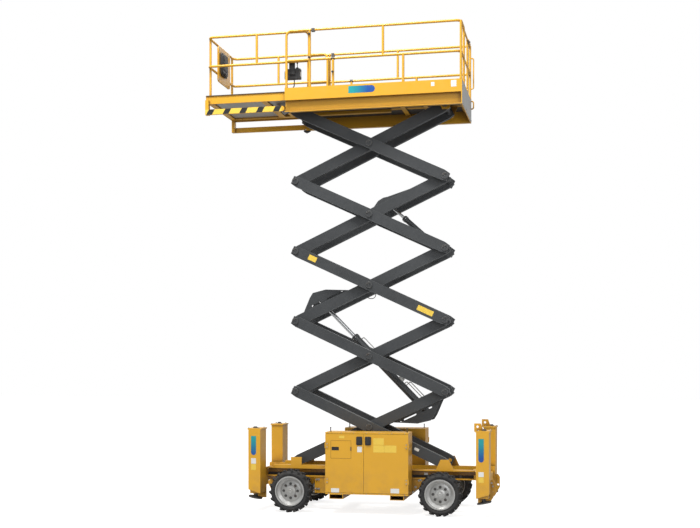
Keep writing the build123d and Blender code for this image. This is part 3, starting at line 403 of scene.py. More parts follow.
# ------------------------------------------------------------------ finishes
class Finish:
    """A material under construction: an object-space principled surface and the nodes behind it."""

    def __init__(self, name, colour, roughness=0.5, metallic=0.0):
        self.material = bpy.data.materials.new(name)
        self.material.use_nodes = True
        self.tree = self.material.node_tree
        self.tree.nodes.clear()
        self.out = self.node("ShaderNodeOutputMaterial")
        self.surface = self.node("ShaderNodeBsdfPrincipled", {
            "Base Color": (*colour, 1), "Roughness": roughness, "Metallic": metallic})
        self.link(self.surface.outputs["BSDF"], self.out.inputs["Surface"])
        self.material.diffuse_color = (*colour, 1)
        self.coords = self.node("ShaderNodeTexCoord").outputs["Object"]
        self.colour = (*colour, 1)

    def node(self, kind, inputs=None, **settings):
        """A node with its settings, its inputs given as values or as sockets to link."""
        return new_node(self.tree, kind, inputs, **settings)

    def link(self, source, target):
        """Join an output to an input."""
        self.tree.links.new(source, target)

    def clouds(self, scale, start, end, least=0.0, most=1.0, detail=3.0):
        """Noise over the object's own coordinates, from one strength to another."""
        return self.span(self.noise(scale, detail), start, end, least, most)

    def noise(self, scale, detail=3.0, stretch=(1, 1, 1)):
        """Noise over the object's own coordinates, from 0 to 1."""
        mapping = self.node("ShaderNodeMapping", {"Scale": stretch, "Vector": self.coords})
        return self.node("ShaderNodeTexNoise", {
            "Scale": scale, "Detail": detail, "Vector": mapping.outputs["Vector"]}).outputs["Fac"]

    def span(self, source, from_low, from_high, to_low=0.0, to_high=1.0):
        """Map a value's range to another, clamped."""
        return self.node("ShaderNodeMapRange", {
            "From Min": from_low, "From Max": from_high, "To Min": to_low, "To Max": to_high,
            "Value": source}).outputs["Result"]

    def times(self, first, second):
        """Product of two values."""
        return self.node("ShaderNodeMath", {0: first, 1: second}, operation="MULTIPLY").outputs["Value"]

    def part(self, source, axis):
        """One of a vector's three values."""
        return self.node("ShaderNodeSeparateXYZ", {0: source}).outputs[axis]

    def stain(self, factor, colour):
        """Lay a colour over what is there, where the factor says."""
        # 6 and 7 are the node's two colours
        mix = self.node("ShaderNodeMix", {"Factor": factor, 6: self.colour, 7: (*colour, 1)},
                        data_type="RGBA")
        self.colour = mix.outputs[2]
        self.link(self.colour, self.surface.inputs["Base Color"])

    def edges(self, width):
        """Where an edge is within a width, from 0 to 1."""
        bevel = self.node("ShaderNodeBevel", {"Radius": width}, samples=4)
        face = self.node("ShaderNodeNewGeometry").outputs["True Normal"]
        dot = self.node("ShaderNodeVectorMath", {0: bevel.outputs["Normal"], 1: face},
                        operation="DOT_PRODUCT")
        return self.span(dot.outputs["Value"], 0.98, 0.86)

    def gloss(self, source, smoothest, roughest):
        """Let the gloss vary with a value."""
        self.link(self.span(source, 0.3, 0.7, smoothest, roughest), self.surface.inputs["Roughness"])

    def grain(self, scale, detail, distance, strength):
        """Raise the surface by a fine noise."""
        bump = self.node("ShaderNodeBump", {
            "Distance": distance, "Strength": strength, "Height": self.noise(scale, detail)})
        self.link(bump.outputs["Normal"], self.surface.inputs["Normal"])


def new_node(tree, kind, inputs=None, **settings):
    """A node in a tree, with its settings and its inputs as values or as sockets to link."""
    made = tree.nodes.new(kind)
    for key, value in settings.items():
        setattr(made, key, value)
    for name, value in (inputs or {}).items():
        if isinstance(value, bpy.types.NodeSocket):
            tree.links.new(value, made.inputs[name])
        else:
            made.inputs[name].default_value = value
    return made


# Finishes of one make: colour, gloss and metal, stains as (noise scale, start, end, strength, colour),
# edges as (width, colour) or (width, colour, noise scale, start, end), the gloss's noise and its span,
# and the grain's noise scale, detail, height and strength.
PLAIN = {
    # aluminium paint on pressed steel
    "silver paint": dict(colour="rim_paint", roughness=0.35, metallic=0.55,
                         stains=((9, 0.4, 0.75, 0.5, (0.30, 0.29, 0.27)),),
                         edge=(0.004, (0.66, 0.66, 0.65)),
                         gloss=(30, 0.28, 0.48), grain=(150, 2, 0.0004, 0.4)),
    # matt rubber with dry dust in its hollows
    "tyre rubber": dict(colour="rubber", roughness=0.8,
                        stains=((6, 0.45, 0.8, 0.45, (0.075, 0.068, 0.060)),),
                        edge=(0.008, (0.055, 0.053, 0.050), 40, 0.4, 0.6),
                        gloss=(25, 0.72, 0.92), grain=(90, 4, 0.0012, 0.5)),
    # oiled steel with a little rust bloom
    "dark steel": dict(colour="steel", roughness=0.5, metallic=0.6,
                       stains=((11, 0.5, 0.8, 0.6, (0.10, 0.052, 0.028)),),
                       edge=(0.004, (0.20, 0.20, 0.20)),
                       gloss=(18, 0.38, 0.62), grain=(80, 3, 0.0006, 0.4)),
    # moulded plastic
    "black plastic": dict(colour=(0.018, 0.018, 0.019), roughness=0.5,
                          stains=((12, 0.45, 0.8, 0.4, (0.045, 0.044, 0.043)),),
                          gloss=(30, 0.42, 0.6), grain=(700, 2, 0.0002, 0.5)),
    # plated fasteners and lines, slightly dulled
    "zinc plate": dict(colour=(0.50, 0.50, 0.48), roughness=0.36, metallic=0.85,
                       stains=((25, 0.45, 0.75, 0.5, (0.27, 0.25, 0.22)),),
                       gloss=(60, 0.28, 0.46), grain=(300, 2, 0.0002, 0.3)),
    # hoses and cables, a little chalky
    "black rubber": dict(colour=(0.022, 0.022, 0.023), roughness=0.6,
                         stains=((8, 0.45, 0.8, 0.5, (0.060, 0.058, 0.055)),),
                         gloss=(25, 0.52, 0.72), grain=(400, 2, 0.0003, 0.5)),
    # near-black sheet under the deck as painted shade, with streaks and dust
    "painted shade sheet": dict(colour=(0.030, 0.030, 0.031), roughness=0.6,
                        stains=((2.5, 0.4, 0.75, 0.6, (0.060, 0.056, 0.052)),
                                (24, 0.55, 0.8, 0.4, (0.095, 0.075, 0.055))),
                        gloss=(20, 0.5, 0.7), grain=(150, 2, 0.0003, 0.4)),
    # tread plate, scuffed bright where boots land
    "worn tread": dict(colour=(0.23, 0.235, 0.235), roughness=0.45, metallic=0.75,
                       stains=((2.2, 0.4, 0.7, 0.6, (0.13, 0.128, 0.122)),),
                       edge=(0.003, (0.46, 0.46, 0.45), 9, 0.35, 0.6),
                       gloss=(15, 0.34, 0.6), grain=(110, 3, 0.0004, 0.4)),
}

FILMS = {
    "white label": (0.74, 0.74, 0.71), "yellow label": (0.80, 0.55, 0.075),
    "red knob": (0.50, 0.014, 0.012), "black hazard film": (0.020, 0.020, 0.021),
    "brown seam": (0.20, 0.085, 0.015),
    "column patch": (0.010, 0.075, 0.33), "board patch": (0.010, 0.075, 0.33),
}
# the patches run from blue to teal along an axis, between two places
TEAL = (0.012, 0.30, 0.32)
TEAL_SPANS = {"column patch": ("Z", 0.96, 1.22), "board patch": ("X", -0.38, -0.12)}


def plain_finish(name, colour, roughness, stains, gloss, grain, metallic=0.0, edge=None):
    """A finish with stains, worn edges, an uneven gloss and a fine grain."""
    if isinstance(colour, str):
        colour = getattr(colours(), colour)
    made = Finish(name, colour, roughness, metallic)
    for scale, start, end, strength, stain in stains:
        made.stain(made.clouds(scale, start, end, 0.0, strength), stain)
    if edge:
        width, worn, *wear = edge
        rubbed = made.edges(width)
        made.stain(made.times(rubbed, made.clouds(*wear)) if wear else rubbed, worn)
    made.gloss(made.noise(gloss[0]), *gloss[1:])
    made.grain(*grain)
    return made


def film(name):
    """Printed film: a colour with a soft sheen, faded and dusty in places."""
    colour = Vector(FILMS[name])
    sheet = plain_finish(name, colour, 0.34, ((3, 0.35, 0.75, 0.3, colour * 0.84),
                                              (28, 0.55, 0.8, 0.3, colour * 0.62)),
                         gloss=(14, 0.28, 0.44), grain=(180, 2, 0.0002, 0.2))
    if name in TEAL_SPANS:
        axis, blue_end, teal_end = TEAL_SPANS[name]
        sheet.stain(sheet.span(sheet.part(sheet.coords, axis), blue_end, teal_end), TEAL)
    return sheet


def body_paint():
    """Gloss paint with a slight orange peel, dust low down, painted shade darkening corners and recesses, and thin
    edges.
    """
    colour = colours().paint
    paint = Finish("body paint", colour, 0.36)
    paint.stain(paint.clouds(1.3, 0.35, 0.7, 0.0, 0.35), Vector(colour) * 0.86)
    worn = paint.times(paint.edges(0.005), paint.clouds(22, 0.4, 0.6, 0.0, 0.55))
    paint.stain(worn, (0.86, 0.52, 0.14))
    low_down = paint.span(paint.part(paint.coords, "Z"), 0.0, 0.9, 1.0, 0.0)
    paint.stain(paint.times(low_down, paint.clouds(7, 0.42, 0.75, 0.0, 0.5)), (0.30, 0.17, 0.07))
    # painted shade: where ambient occlusion finds corners and recesses, such as the deck's side channel, the paint
    # turns dark brown
    corners = paint.node("ShaderNodeAmbientOcclusion", {"Distance": 0.24}, samples=6)
    paint.stain(paint.span(corners.outputs["AO"], 0.42, 0.86, 0.85, 0.0), (0.115, 0.042, 0.008))
    paint.gloss(paint.noise(9), 0.30, 0.46)
    paint.surface.inputs["Coat Weight"].default_value = 0.25
    paint.surface.inputs["Coat Roughness"].default_value = 0.2
    paint.grain(260, 2, 0.0003, 0.35)
    return paint


def arm_paint():
    """Satin grey paint, dusty on what looks up and worn pale on its edges."""
    colour = colours().arm_paint
    paint = Finish("arm paint", colour, 0.45)
    paint.stain(paint.clouds(2.1, 0.35, 0.7, 0.0, 0.6), Vector(colour) * 1.35)
    worn = paint.times(paint.edges(0.010), paint.clouds(30, 0.36, 0.58, 0.15, 0.9))
    paint.stain(worn, (0.17, 0.175, 0.18))
    upward = paint.span(paint.part(paint.node("ShaderNodeNewGeometry").outputs["Normal"], "Z"), 0.3, 1.0)
    paint.stain(paint.times(upward, paint.clouds(12, 0.4, 0.8, 0.0, 0.35)), (0.13, 0.11, 0.09))
    paint.gloss(paint.noise(14), 0.36, 0.55)
    paint.grain(220, 2, 0.0003, 0.4)
    return paint


def hard_chrome():
    """Ground and plated rod, with fine lengthwise marks."""
    chrome = Finish("hard chrome", (0.72, 0.73, 0.74), 0.12, 1.0)
    chrome.gloss(chrome.noise(60, 2, (1, 6, 1)), 0.07, 0.2)
    chrome.stain(chrome.clouds(5, 0.55, 0.8, 0.0, 0.3), (0.50, 0.48, 0.44))
    return chrome


def galvanised():
    """Hot-dipped zinc with its crystal pattern."""
    zinc = Finish("galvanised plate", colours().zinc, 0.42, 0.75)
    cells = zinc.node("ShaderNodeTexVoronoi", {"Scale": 45, "Vector": zinc.coords})
    tone = zinc.node("ShaderNodeSeparateColor", {0: cells.outputs["Color"]}).outputs[0]
    zinc.stain(zinc.span(tone, 0, 1, 0.0, 0.35), (0.36, 0.37, 0.37))
    zinc.stain(zinc.clouds(4, 0.5, 0.8, 0.0, 0.4), (0.32, 0.30, 0.27))
    zinc.gloss(zinc.noise(20), 0.34, 0.52)
    zinc.grain(120, 2, 0.0003, 0.3)
    return zinc


MAKERS = {"body paint": body_paint, "arm paint": arm_paint, "hard chrome": hard_chrome,
          "galvanised plate": galvanised}


def finish(name):
    """A finish by its name, made when it is first asked for."""
    if name in bpy.data.materials:
        return bpy.data.materials[name]
    if name in MAKERS:
        return MAKERS[name]().material
    return (film(name) if name in FILMS else plain_finish(name, **PLAIN[name])).material


FINISH_OF_SLOT = {
    "paint": "body paint", "arm_paint": "arm paint", "tyre_black": "tyre rubber",
    "rim_silver": "silver paint", "steel": "dark steel", "rod_chrome": "hard chrome",
    "black": "black plastic", "zinc": "galvanised plate",
}


class LIFT_OT_finishes(Operator):
    """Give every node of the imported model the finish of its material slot"""
    bl_idname = "lift.finishes"
    bl_label = "Finishes"

    def execute(self, context):
        for part in frame["record"]["subparts"]:
            mesh = frame["nodes"][part["node"]].data
            mesh.materials.clear()
            mesh.materials.append(finish(FINISH_OF_SLOT[part["material_slot"]]))
        return {"FINISHED"}


# ------------------------------------------------------------------ geometry node trees
class Tree:
    """A Geometry Nodes tree under construction, with named inputs for its sizes."""

    def __init__(self, name):
        self.group = bpy.data.node_groups.new(name, "GeometryNodeTree")
        face = self.group.interface
        face.new_socket("Geometry", in_out="INPUT", socket_type="NodeSocketGeometry")
        face.new_socket("Geometry", in_out="OUTPUT", socket_type="NodeSocketGeometry")
        self.entry = self.group.nodes.new("NodeGroupInput")
        self.start = self.entry.outputs["Geometry"]
        self.finish = self.ask("Finish", None, "NodeSocketMaterial")

    def ask(self, name, default, kind="NodeSocketFloat"):
        """A named input, as the socket that gives its value."""
        socket = self.group.interface.new_socket(name, in_out="INPUT", socket_type=kind)
        if default is not None:
            socket.default_value = default
        return self.entry.outputs[name]

    def node(self, kind, inputs=None, **settings):
        """A node with its settings, its inputs given as values or as sockets to link."""
        return new_node(self.group, kind, inputs, **settings)

    def math(self, operation, first, second=0.0):
        """Result of one arithmetic step on two values."""
        return self.node("ShaderNodeMath", {0: first, 1: second}, operation=operation).outputs[0]

    def drum(self, low_radius, high_radius, depth, base, sides):
        """A closed drum or cone frustum that stands at a height."""
        cone = self.node("GeometryNodeMeshCone", {"Vertices": sides, "Radius Top": high_radius,
                                                  "Radius Bottom": low_radius, "Depth": depth})
        lift = self.node("ShaderNodeCombineXYZ", {"Z": base})
        return self.node("GeometryNodeTransform", {"Geometry": cone.outputs["Mesh"],
                                                   "Translation": lift.outputs[0]}).outputs[0]

    def join(self, *parts):
        """Several geometries as one."""
        joined = self.node("GeometryNodeJoinGeometry")
        for part in parts:
            self.group.links.new(part, joined.inputs[0])
        return joined.outputs[0]

    def close(self, geometry):
        """End the tree with its geometry made real and painted, and give its group."""
        real = self.node("GeometryNodeRealizeInstances", {0: geometry})
        painted = self.node("GeometryNodeSetMaterial", {"Geometry": real.outputs[0],
                                                        "Material": self.finish})
        self.group.links.new(painted.outputs[0], self.group.nodes.new("NodeGroupOutput").inputs["Geometry"])
        return self.group


def bolts_tree():
    """Hexagon bolts with their washers on points, each along its point's facing."""
    tree = Tree("hexagon bolts")
    across = tree.ask("Across flats", 0.024)
    height = tree.ask("Head height", 0.012)
    washer = tree.ask("Washer radius", 0.018)
    sheet = tree.ask("Washer height", 0.003)
    seed = tree.ask("Seed", 3, "NodeSocketInt")
    # a hexagon's corners lie at this share of its size across flats
    radius = tree.math("MULTIPLY", across, 0.57735)
    # the rest of the head's height is its chamfer
    shank = tree.math("MULTIPLY", height, 0.78)
    bolt = tree.join(
        tree.drum(washer, washer, sheet, 0.0, 18),
        tree.drum(radius, radius, shank, sheet, 6),
        tree.drum(radius, tree.math("MULTIPLY", radius, 0.84), tree.math("MULTIPLY", height, 0.22),
                  tree.math("ADD", shank, sheet), 6))
    facing = tree.node("GeometryNodeInputNamedAttribute", {"Name": "facing"}, data_type="FLOAT_VECTOR")
    aligned = tree.node("FunctionNodeAlignRotationToVector", {"Vector": facing.outputs[0]}, axis="Z")
    # a turn of its own for each bolt, up to a sixth of a circle: 2 and 3 are the node's least and most
    turn = tree.node("FunctionNodeRandomValue", {2: 0.0, 3: 1.05, "Seed": seed}, data_type="FLOAT")
    twist = tree.node("FunctionNodeAxisAngleToRotation", {"Axis": (0, 0, 1), "Angle": turn.outputs[1]})
    turned = tree.node("FunctionNodeRotateRotation", {
        "Rotation": aligned.outputs[0], "Rotate By": twist.outputs[0]}, rotation_space="LOCAL")
    placed = tree.node("GeometryNodeInstanceOnPoints", {"Points": tree.start, "Instance": bolt,
                                                        "Rotation": turned.outputs[0]})
    return tree.close(placed.outputs[0])


def weld_tree():
    """Overlapping weld ripples along the edges of a wire."""
    tree = Tree("weld bead")
    radius = tree.ask("Bead radius", 0.005)
    spacing = tree.ask("Spacing", 0.007)
    line = tree.node("GeometryNodeMeshToCurve", {"Mesh": tree.start})
    points = tree.node("GeometryNodeCurveToPoints", {"Curve": line.outputs[0], "Length": spacing},
                       mode="LENGTH")
    ripple = tree.node("GeometryNodeMeshUVSphere", {"Segments": 7, "Rings": 4, "Radius": radius})
    placed = tree.node("GeometryNodeInstanceOnPoints", {"Points": points.outputs["Points"],
                                                        "Instance": ripple.outputs[0],
                                                        "Rotation": points.outputs["Rotation"],
                                                        "Scale": (1.0, 1.0, 0.95)})
    return tree.close(placed.outputs[0])


def tread_tree():
    """Raised lozenges of a tread plate, turned by turns, over a rectangle about the input's middle."""
    tree = Tree("tread lozenges")
    length = tree.ask("Length", 1.0)
    width = tree.ask("Width", 1.0)
    pitch = tree.ask("Pitch", 0.04)
    size = tree.ask("Lozenge", (0.013, 0.0045, 0.0016), "NodeSocketVector")
    centre = tree.ask("Centre", (0.0, 0.0, 0.0), "NodeSocketVector")
    count_x = tree.math("ADD", tree.math("FLOOR", tree.math("DIVIDE", length, pitch)), 1.0)
    count_y = tree.math("ADD", tree.math("FLOOR", tree.math("DIVIDE", width, pitch)), 1.0)
    grid = tree.node("GeometryNodeMeshGrid", {"Size X": length, "Size Y": width,
                                              "Vertices X": count_x, "Vertices Y": count_y})
    index = tree.node("GeometryNodeInputIndex").outputs[0]
    row = tree.math("FLOOR", tree.math("DIVIDE", index, count_y))
    parity = tree.math("MODULO", tree.math("ADD", row, tree.math("MODULO", index, count_y)), 2.0)
    # each lozenge leans by an eighth of a circle, to one side or the other
    turn = tree.math("ADD", tree.math("MULTIPLY", parity, pi / 2), pi / 4)
    lozenge = tree.node("GeometryNodeMeshCone", {"Vertices": 4, "Radius Top": 0.55, "Radius Bottom": 1.0,
                                                 "Depth": 1.0})
    placed = tree.node("GeometryNodeInstanceOnPoints", {
        "Points": grid.outputs["Mesh"], "Instance": lozenge.outputs["Mesh"], "Scale": size,
        "Rotation": tree.node("ShaderNodeCombineXYZ", {"Z": turn}).outputs[0]})
    moved = tree.node("GeometryNodeTransform", {"Geometry": placed.outputs[0], "Translation": centre})
    return tree.close(moved.outputs[0])


def row_tree():
    """Copies of the input shape in an even row."""
    tree = Tree("row of copies")
    count = tree.ask("Count", 5, "NodeSocketInt")
    step = tree.ask("Step", (0.1, 0.0, 0.0), "NodeSocketVector")
    line = tree.node("GeometryNodeMeshLine", {"Count": count, "Offset": step}, mode="OFFSET")
    placed = tree.node("GeometryNodeInstanceOnPoints", {"Points": line.outputs[0], "Instance": tree.start})
    return tree.close(placed.outputs[0])


TREES = {}


def tree_of(maker):
    """A tree, built when it is first asked for."""
    if maker not in TREES:
        TREES[maker] = maker()
    return TREES[maker]


def grow(name, mesh, maker, sizes, paint, body):
    """Run a tree on a mesh with sizes by their names, and keep the result as one plain mesh."""
    seed = bpy.data.objects.new(name + "_seed", mesh)
    modifier = seed.modifiers.new("tree", "NODES")
    modifier.node_group = tree_of(maker)
    values = dict(sizes, Finish=finish(paint))
    for socket in modifier.node_group.interface.items_tree:
        if socket.in_out == "INPUT" and socket.name in values:
            modifier[socket.identifier] = values[socket.name]
    settle(name, seed, finish(paint), body)


def bolts(name, spots, size, paint, body):
    """Bolts of one size (metres across flats) at a body's spots, each a place and the way it faces."""
    mesh = bpy.data.meshes.new(name)
    mesh.from_pydata([tuple(place) for place, _ in spots], [], [])
    directions = mesh.attributes.new("facing", "FLOAT_VECTOR", "POINT")
    directions.data.foreach_set("vector", [value for _, out in spots for value in out])
    sizes = {"Across flats": size, "Head height": size * 0.55, "Washer radius": size * 0.8,
             "Washer height": size * 0.12}
    grow(name, mesh, bolts_tree, sizes, paint, body)


def welds(name, wires, bead, body):
    """Weld beads along wires, each a list of points and whether it closes on itself."""
    places, edges = [], []
    for points, closed in wires:
        first = len(places)
        places += [tuple(point) for point in points]
        edges += [(first + i, first + i + 1) for i in range(len(points) - 1)]
        if closed:
            edges.append((len(places) - 1, first))
    mesh = bpy.data.meshes.new(name)
    mesh.from_pydata(places, edges, [])
    grow(name, mesh, weld_tree, {"Bead radius": bead, "Spacing": bead * 1.3}, "arm paint", body)


# ------------------------------------------------------------------ wheels
class LIFT_OT_wheels(Operator):
    """Put nuts, hub caps, valves and sidewall rings on the four wheels"""
    bl_idname = "lift.wheels"
    bl_label = "Wheel fittings"

    nut_circle: FloatProperty(name="Nut circle", description="Radius of the wheel nuts' circle",
                              unit="LENGTH", default=0.120)
    nuts: IntProperty(name="Nuts", description="Wheel nuts on each wheel", default=8)
    ring_depth: FloatProperty(name="Ring depth", description="Of the nuts behind the tyre's outer side",
                              unit="LENGTH", default=0.075)
    hub_circle: FloatProperty(name="Hub circle", description="Radius of the hub bolts' circle",
                              unit="LENGTH", default=0.043)
    hub_depth: FloatProperty(name="Hub depth", description="Of the hub's face behind the tyre's outer side",
                             unit="LENGTH", default=0.044)

    def execute(self, context):
        for corner, side in CORNERS:
            body, tyre = f"wheel_{corner}", f"tyre_{corner}"
            centre, out = middle(tyre), Y * side
            face = Vector((centre.x, outer_y(tyre, side), centre.z))
            ring, hub = face - out * self.ring_depth, face - out * self.hub_depth
            nuts, screws = ring_of(ring, self.nut_circle, self.nuts), ring_of(hub, self.hub_circle, 6)
            bolts(f"wheel_nuts_{corner}", facing(nuts, out), M20, "dark steel", body)
            bolts(f"hub_bolts_{corner}", facing(screws, out), M8, "zinc plate", body)
            with piece(f"hub_cap_{corner}", "silver paint", body) as build:
                add_turned(build, "hub cap", axis_frame(hub, out))
                valve = axis_frame(ring + Vector((0.062, side * 0.006, 0.185)), out)
                add_turned(build, "tyre valve", valve, 10)
            with piece(f"sidewall_rings_{corner}", "tyre rubber", body) as build:
                for way in (Y, -Y):
                    sidewall = axis_frame(centre + way * (high(tyre).y - centre.y), way)
                    for inner in (0.2885, 0.2975):
                        ridge = tuple((inner + radius, rise) for radius, rise in PROFILES["sidewall ridge"])
                        add_turned(build, ridge, sidewall, 64)
        return {"FINISHED"}


# ------------------------------------------------------------------ scissor
class LIFT_OT_pins(Operator):
    """Lock every scissor pin with a keeper plate, two bolts and a grease nipple"""
    bl_idname = "lift.pins"
    bl_label = "Pin locks"

    keeper_rise: FloatProperty(name="Keeper rise", description="Of the keeper plates above the pins",
                               unit="LENGTH", default=0.030)

    def execute(self, context):
        for stage in range(1, STAGES + 1):
            body, spots = f"inner_arm_{stage}", []
            # the first pair's lower ends run on rollers and have no pins
            pins = (0, Stack.half_arm) if stage == 1 else (-Stack.half_arm, 0, Stack.half_arm)
            with piece(f"pin_keepers_{stage}", "dark steel", body) as build:
                for (_, side), along in product(SIDES, pins):
                    arm, out = Stack.arm_frame("inner", stage, side * high(body).y), Y * side
                    head = axis_frame(arm @ (X * along), out)
                    add_turned(build, "pin rim", head, 32)
                    add_turned(build, "grease nipple", head, 10)
                    keeper = moved(arm, along, 0, self.keeper_rise)
                    if side < 0:
                        keeper = keeper @ Matrix.Rotation(pi, 4, "Z")
                    add_plate(build, keeper, 0.070, 0.022, 0.005, 0.005)
                    for across in (-0.024, 0.024):
                        spots.append((arm @ Vector((along + across, side * 0.005, self.keeper_rise)), out))
            bolts(f"pin_bolts_{stage}", spots, M8, "dark steel", body)
        return {"FINISHED"}


class LIFT_OT_arm_welds(Operator):
    """Run weld beads round the arms' cross tubes and along the cylinder brackets"""
    bl_idname = "lift.arm_welds"
    bl_label = "Arm welds"

    tube_radius: FloatProperty(name="Tube radius", description="Of the cross tubes", unit="LENGTH",
                               default=0.035)
    bracket_y: FloatProperty(name="Bracket face", description="Of the bracket plates, from the middle",
                             unit="LENGTH", default=0.209)
    bead: FloatProperty(name="Bead", description="Radius of the weld beads", unit="LENGTH", default=0.0055)

    def execute(self, context):
        half = Stack.half_arm
        # where the cross tubes stand along the inner arms of each stage
        tubes = {1: (-half, 0.200), 2: (-half, half), 3: (-half, 0.500), 4: (-half, half), 5: (-half, half)}
        # where each bracket's foot runs along its arm, and on which edge
        feet = {1: (0.300, 1.310, -1), 3: (-1.310, -0.300, 1), 4: (0.014, 1.174, 1)}
        for stage, places in tubes.items():
            wires = []
            for _, side in SIDES:
                arm = Stack.arm_frame("inner", stage, side * (Stack.inner_arm_face - 0.001))
                for along in places:
                    tube = axis_frame(arm @ (X * along), Y)
                    wires.append((ring_in(tube, self.tube_radius + 0.002, 20), True))
                if stage in feet:
                    start, stop, which = feet[stage]
                    arm = Stack.arm_frame("inner", stage, side * self.bracket_y)
                    edge = which * (Stack.arm_half_height - 0.001)
                    wires.append(([arm @ Vector((along, 0, edge)) for along in (start, stop)], False))
            welds(f"arm_welds_{stage}", wires, self.bead, f"inner_arm_{stage}")
        return {"FINISHED"}


class LIFT_OT_arm_fittings(Operator):
    """Put blank plates and cable loops on the arms"""
    bl_idname = "lift.arm_fittings"
    bl_label = "Arm fittings"

    cable_radius: FloatProperty(name="Cable radius", description="Of the loops beside the middle pins",
                                unit="LENGTH", default=0.0065)

    def execute(self, context):
        # stage of the outer arm, place along and above, size, finish
        plates = ((3, 1.092, 0.006, 0.150, 0.090, "yellow label"),
                  (3, -1.060, 0.0, 0.290, 0.088, "yellow label"),
                  (1, -0.896, 0.01, 0.085, 0.045, "white label"))
        for number, (stage, along, above, width, height, paint) in enumerate(plates, 1):
            body = f"outer_arm_{stage}"
            place = moved(Stack.arm_frame("outer", stage, high(body).y), along, 0, above)
            label(f"arm_plate_{number}", place, width, height, paint, body, 0.008)
        # a cable loop beside the middle pins of stages 3 and 4: how far down it hangs and to each side
        for stage, drop, reach in ((3, 0.21, 0.085), (4, 0.115, 0.055)):
            centre = Stack.arm_frame("inner", stage, Stack.inner_arm_face - 0.014).translation
            loop = ((-1, -0.02), (-1, 0.06 - drop), (-0.7, -drop), (0, -drop - 0.015), (0.7, -drop),
                    (1, 0.06 - drop), (1, -0.02))
            route = [centre + X * (share * reach) + Z * height for share, height in loop]
            pipe(f"cable_loop_{stage}", route, self.cable_radius, "black rubber", f"inner_arm_{stage}")
            with piece(f"cable_clips_{stage}", "dark steel", f"inner_arm_{stage}", 0.001) as build:
                for end in (route[0], route[-1]):
                    add_plate(build, out_frame(end + Y * 0.002, -Y), 0.034, 0.030, 0.014, 0.006, 0.012)
        return {"FINISHED"}


class LIFT_OT_cylinders(Operator):
    """Put rod seals, gland screws, hard lines and a valve block on the lift cylinders"""
    bl_idname = "lift.cylinders"
    bl_label = "Cylinder fittings"

    line_radius: FloatProperty(name="Line radius", description="Of the hard lines on the lower barrel",
                               unit="LENGTH", default=0.008)

    def execute(self, context):
        # radii of barrel and rod, and the barrel's length from its pivot
        for name, radius, rod, length in (("lower", 0.0695, 0.033, 1.89963),
                                          ("upper", 0.052, 0.025, 0.904674)):
            along, body = Vector(joint(f"{name}_rod_slide")["axis"]), f"{name}_barrel"
            end = Vector(joint(f"{name}_cylinder_pivot")["pos_m"]) + along * length
            with piece(f"{name}_rod_seal", "black plastic", body) as build:
                seal = ((rod + 0.0008, -0.002), (radius - 0.010, -0.002), (radius - 0.010, 0.010),
                        (rod + 0.010, 0.016), (rod + 0.0008, 0.016))
                add_turned(build, seal, axis_frame(end, along), 32)
            gland = axis_frame(end - along * 0.030, along)
            spots = [(place, place - gland.translation) for place in ring_in(gland, radius - 0.001, 8, 0.2)]
            bolts(f"{name}_gland_screws", spots, M6, "zinc plate", body)
        self.lines()
        return {"FINISHED"}

    def lines(self):
        """Hard lines and a valve block along the upper side of the lower barrel."""
        along = Vector(joint("lower_rod_slide")["axis"])
        barrel = frame_of(along, Y, Vector((-along.z, 0, along.x)), joint("lower_cylinder_pivot")["pos_m"])
        # where a line leaves the barrel and joins it again, how far off it runs, and its place across
        lines = ((0.16, 0.70, 0.112, 0.020), (0.16, 0.66, 0.150, -0.020), (1.22, 1.78, 0.106, 0.0))
        for number, (near, far, away, y) in enumerate(lines, 1):
            route = ((near, 0.055), (near, away - 0.012), (near + 0.012, away), (near + 0.06, away),
                     (far - 0.06, away), (far - 0.012, away), (far, away - 0.012), (far, 0.055))
            pipe(f"lower_line_{number}", [barrel @ Vector((place, y, above)) for place, above in route],
                 self.line_radius, "zinc plate", "lower_barrel")
        block = moved(barrel, 0.80, 0, 0.085)
        with piece("valve_block", "zinc plate", "lower_barrel", 0.002) as build:
            add_box(build, (-0.050, -0.032, -0.030), (0.050, 0.032, 0.022), block)
            for place in (-0.025, 0.025):
                add_turned(build, "valve block stud", moved(block, place), 12)


